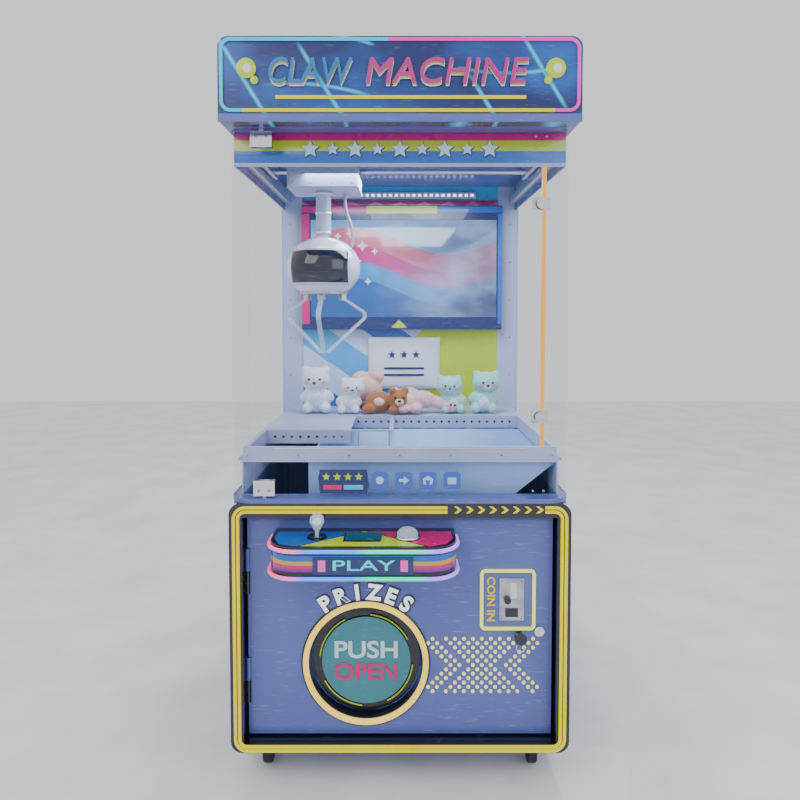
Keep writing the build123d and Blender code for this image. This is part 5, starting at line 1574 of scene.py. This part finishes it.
class CRANE_OT_prize(bpy.types.Operator):
    """The glowing ring, the printed flap and the raised word over it"""
    bl_idname = "crane.prize"
    bl_label = "Prize opening"

    def execute(self, context):
        c = colours()
        cx, cz = FLAP_CENTRE.x, FLAP_CENTRE.z
        ring_r = sizes().ring
        face = DOOR_Y - 4 * MM
        glow = hoop((cx, face, cz), ring_r, 7.5 * MM, 96, resolution=5)
        tag(
            glow, "prize_ring_light", lit("warm ring light", (1.0, 0.70, 0.10, 1), 1.6), "base_door")
        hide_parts("door_light_tubes")
        rim = hoop((cx, DOOR_Y - 1 * MM, cz), ring_r + 9 * MM, 3 * MM, 96)
        tag(rim, "prize_ring_rim", black_moulding(), "base_door")
        y, disc_z = FLAP[0].y, cz - 4 * MM
        disc_r, arc_r, arc_turn = 0.118, 0.124, 0.32
        teal = disc((cx, y - 0.6 * MM, disc_z), disc_r, 1.0 * MM, bevel=0, sides=64)
        tag(
            teal, "flap_teal_disc", plain_print("teal print", (0.03, 0.22, 0.28, 1)), "prize_flap")
        arcs = []
        for start in (0.15, 0.65, 1.15, 1.65):
            angles = [(start + arc_turn * i / 10) * pi for i in range(11)]
            points = [Vector((cx + arc_r * cos(a), y - 1.0 * MM, disc_z + arc_r * sin(a))) for a in angles]
            arcs.append(tube(points, 2.0 * MM, resolution=1))
        tag(join(arcs), "flap_lime_arcs", hue_print("lime"), "prize_flap")
        for text, rise, ink, shade in (("PUSH", 0.027, "pearl print", PEARL),
                                       ("OPEN", -0.033, "magenta print", tuple(c.magenta))):
            place = Matrix.Translation((cx, y - 2.2 * MM, disc_z + rise))
            word = words(text, 0.046, 1.2 * MM, place, width=0.168, bold=0.03)
            tag(word, f"flap_word_{text.lower()}", plain_print(ink, shade), "prize_flap")
        letters, shadows = [], []
        text, word_r, letter_turn = "PRIZES", ring_r + 0.032, 0.235
        for index, letter in enumerate(text):
            angle = pi / 2 - (index - (len(text) - 1) / 2) * letter_turn
            place = Matrix.Translation((cx + word_r * cos(angle), DOOR_Y - 5 * MM, cz + word_r * sin(angle)))
            place = place @ Matrix.Rotation(pi / 2 - angle, 4, "Y")
            letters.append(words(letter, 0.040, 3 * MM, place, bold=0.05))
            behind = Matrix.Translation((1.5 * MM, 3 * MM, -1.5 * MM)) @ place
            shadows.append(words(letter, 0.043, 2 * MM, behind, bold=0.11))
        tag(
            join(letters), "prize_word", lit("white letters", (0.85, 0.92, 1.0, 1), 1.5), "base_door")
        tag(join(shadows), "prize_word_shadow", black_moulding(), "base_door")
        return {"FINISHED"}


# ---- Coin unit ----

class CRANE_OT_coin(bpy.types.Operator):
    """Lit frame, plate details, letters and the key ring of the coin unit"""
    bl_idname = "crane.coin"
    bl_label = "Coin unit"

    def execute(self, context):
        low, high = COIN
        cx, cz = (low.x + high.x) / 2, (low.z + high.z) / 2
        y = DOOR_Y - 5 * MM
        loop = corner_loop(cx - 0.079, cx + 0.058, cz - 0.077, cz + 0.077, 0.010, y)
        tag(tube(loop, 4.4 * MM, closed=True), "coin_frame_light",
            lit("pale frame light", (0.88, 0.95, 0.12, 1), 1.5), "base_door")
        face = COIN[0].y
        # The black slot block is painted shade inside the coin slot's opening; the tray block below it gets
        # the same black moulding.
        slot = block((cx + 3 * MM, face - 0.8 * MM, cz + 6 * MM), (cx + 8 * MM, face, cz + 40 * MM), 0.0003)
        tray = block(
            (cx - 17 * MM, face - 0.8 * MM, cz - 47 * MM), (cx + 17 * MM, face, cz - 23 * MM), 0.0006)
        tag(join([slot, tray]), "coin_slot_and_tray", black_moulding(), "base_door")
        bezel = outline(
            corner_outline(cx + 5.5 * MM, cz + 23 * MM, 9 * MM, 21 * MM, 4 * MM), face - 1.2 * MM, face,
            0.0004)
        tag(bezel, "coin_slot_bezel", chrome(), "base_door")
        centres = [(cx + sx * 26 * MM, face - SCREW_SEAT, cz + sz * 50 * MM)
                   for sx in (-1, 1) for sz in (-1, 1)]
        screws("coin_plate_screws", centres, "base_door", radius=3.2 * MM)
        place = Matrix.Translation((cx - 0.055, DOOR_Y - 1.6 * MM, cz)) @ Matrix.Rotation(pi / 2, 4, "Y")
        word = words("COIN IN", 0.021, 1.2 * MM, place, width=0.118, bold=0.03)
        tag(word, "coin_word", lit("yellow letters", (1.0, 0.80, 0.04, 1), 0.8), "base_door")
        kx, kz = (KEY[0].x + KEY[1].x) / 2, (KEY[0].z + KEY[1].z) / 2
        ring = hoop((kx, KEY[0].y + 4 * MM, kz - 0.024), 0.011, 0.9 * MM, 24, resolution=2)
        tag(ring, "coin_key_ring", chrome(), "coin_key")
        return {"FINISHED"}


def corner_outline(cx, cz, half_width, half_height, radius, steps=5):
    """(x, z) points round a rounded rectangle."""
    loop = corner_loop(
        cx - half_width, cx + half_width, cz - half_height, cz + half_height, radius, 0.0, steps)
    return [(point.x, point.z) for point in loop]


# ---- LED arrows on the door ----

class CRANE_OT_arrows(bpy.types.Operator):
    """The LED dots of the two chevrons and the hourglass between them"""
    bl_idname = "crane.arrows"
    bl_label = "LED arrows"

    def execute(self, context):
        dot, step = sizes().dot, sizes().dot_step
        left, top, middle = DOOR[1].x - 0.326, 0.376, 6
        seed = disc((0, DOOR_Y - 1.4 * MM, 0), dot, 2.4 * MM, bevel=0.0006, sides=14)
        dots = []
        for row in range(2 * middle + 1):
            for column in self.columns(row, middle):
                dots.append(copy_to(seed, (left + column * step, 0, top - row * step)))
        bpy.data.objects.remove(seed)
        tag(
            join(dots), "led_arrow_dots", lit("led yellow", (1.0, 0.90, 0.22, 1), 1.5, 0.4), "base_door")
        return {"FINISHED"}

    def columns(self, row, middle):
        """Half pitches from the left of each dot in a row: chevron, hourglass, chevron."""
        away = abs(row - middle)
        if away == middle:
            chevrons = [1, 23.4]
        else:
            chevrons = [5 - away, 7 - away, 17.4 + away, 19.4 + away]
        count = 8 if row == 0 else 3 + away if away < middle else 9
        return chevrons + [10 - away + 2 * index for index in range(count)]


# ---- Outer fittings ----

class CRANE_OT_fittings(bpy.types.Operator):
    """Screws of the glass fittings and hubs of the casters"""
    bl_idname = "crane.fittings"
    bl_label = "Fittings"

    def execute(self, context):
        low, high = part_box("glass_door_fittings")
        across = (low.x + 0.014, low.x + 0.041, high.x - 0.041, high.x - 0.014)
        places = [(x, low.y - SCREW_SEAT, z) for x in across
                  for z in (PANE[0].z + 0.014, PANE[1].z - 0.014)]
        screws("patch_screws", places, "glass_door", radius=3.0 * MM)
        for hand in ("left", "right"):
            for end in ("front", "rear"):
                node = f"caster_wheel_{end}_{hand}"
                wlow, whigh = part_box(node)
                centre = (wlow + whigh) / 2
                hubs = [disc((centre.x + side * (whigh.x - wlow.x) * 0.5, centre.y, centre.z), 0.014,
                             1.6 * MM, axis="X", bevel=0.0004, sides=24) for side in (-1, 1)]
                tag(join(hubs), f"{node}_hub", zinc(), node)
        return {"FINISHED"}


# ---- Stage ----

def area_light(name, place, target, size, power, shade):
    """A soft rectangular light aimed at a point."""
    deselect()
    bpy.ops.object.light_add(type="AREA", location=place)
    lamp = bpy.context.object
    lamp.name = name
    lamp.data.shape = "RECTANGLE"
    lamp.data.size = size[0]
    lamp.data.size_y = size[1]
    lamp.data.energy = power
    lamp.data.color = shade
    lamp.rotation_euler = (Vector(target) - Vector(place)).to_track_quat("-Z", "Y").to_euler()
    return lamp


class CRANE_OT_stage(bpy.types.Operator):
    """Pale floor, soft studio lights and the camera"""
    bl_idname = "crane.stage"
    bl_label = "Stage"

    def execute(self, context):
        deselect()
        bpy.ops.mesh.primitive_plane_add(size=14.0, location=(0, 0, 0))
        floor = bpy.context.object
        floor.name = "stage_floor"
        floor.data.materials.append(plain_print("stage floor", (0.90, 0.90, 0.92, 1), 0.75))
        lamps = [
            area_light("stage_key", (-2.2, -2.8, 3.2), (0, 0, 0.95), (2.4, 2.4), 60, (1.0, 0.98, 0.95)),
            area_light("stage_fill", (2.6, -2.4, 2.0), (0, 0, 0.9), (2.4, 2.4), 35, (0.86, 0.91, 1.0)),
            area_light("stage_rim", (0.6, 3.0, 3.0), (0, 0, 1.0), (2.4, 1.6), 30, (0.92, 0.95, 1.0)),
            area_light("play_space_light", (0, 0.02, ROOF[0].z - 0.045), (0, 0.05, 0.9), (0.55, 0.35), 9,
                       (0.82, 0.90, 1.0)),
        ]
        s = sizes()
        deselect()
        bpy.ops.object.camera_add(location=(0, FRONT_Y - s.camera_distance, s.camera_height))
        camera = bpy.context.object
        camera.name = "stage_camera"
        camera.rotation_euler = (radians(87.5), 0, 0)
        camera.data.lens = 29.7
        camera.data.shift_y = -0.075
        context.scene.camera = camera
        world = context.scene.world or bpy.data.worlds.new("World")
        context.scene.world = world
        world.use_nodes = True
        background = world.node_tree.nodes["Background"]
        background.inputs["Color"].default_value = (1.0, 1.0, 1.0, 1)
        background.inputs["Strength"].default_value = 0.95
        return {"FINISHED"}


# ---- Panel and registration ----

STEPS = (
    CRANE_OT_cabinet, CRANE_OT_cabinet_lights, CRANE_OT_marquee, CRANE_OT_header, CRANE_OT_display,
    CRANE_OT_deck_details, CRANE_OT_toys, CRANE_OT_stickers, CRANE_OT_claw, CRANE_OT_conduit,
    CRANE_OT_console, CRANE_OT_controls, CRANE_OT_prize, CRANE_OT_coin, CRANE_OT_arrows,
    CRANE_OT_fittings, CRANE_OT_stage,
)


class CRANE_PT_panel(bpy.types.Panel):
    """Buttons for the crane machine's pieces, in build order"""
    bl_idname = "CRANE_PT_panel"
    bl_label = "Claw crane machine"
    bl_space_type = "VIEW_3D"
    bl_region_type = "UI"
    bl_category = "Crane"

    def draw(self, context):
        layout = self.layout
        for group in (context.scene.crane_colours, context.scene.crane_sizes):
            box = layout.box()
            for name in group.bl_rna.properties.keys():
                if name not in ("rna_type", "name"):
                    box.prop(group, name)
        for step in STEPS:
            layout.operator(step.bl_idname)


CLASSES = (CraneColours, CraneSizes, *STEPS, CRANE_PT_panel)


def register():
    """Add the properties, operators and panel to Blender."""
    for item in CLASSES:
        bpy.utils.register_class(item)
    bpy.types.Scene.crane_colours = bpy.props.PointerProperty(type=CraneColours)
    bpy.types.Scene.crane_sizes = bpy.props.PointerProperty(type=CraneSizes)


def unregister():
    """Take them away again."""
    del bpy.types.Scene.crane_sizes
    del bpy.types.Scene.crane_colours
    for item in reversed(CLASSES):
        bpy.utils.unregister_class(item)


def main():
    """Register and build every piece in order."""
    register()
    for step in STEPS:
        group, name = step.bl_idname.split(".")
        result = getattr(getattr(bpy.ops, group), name)()
        if "FINISHED" not in result:
            raise RuntimeError(f"{step.bl_idname} did not finish")


if __name__ == "__main__":
    main()
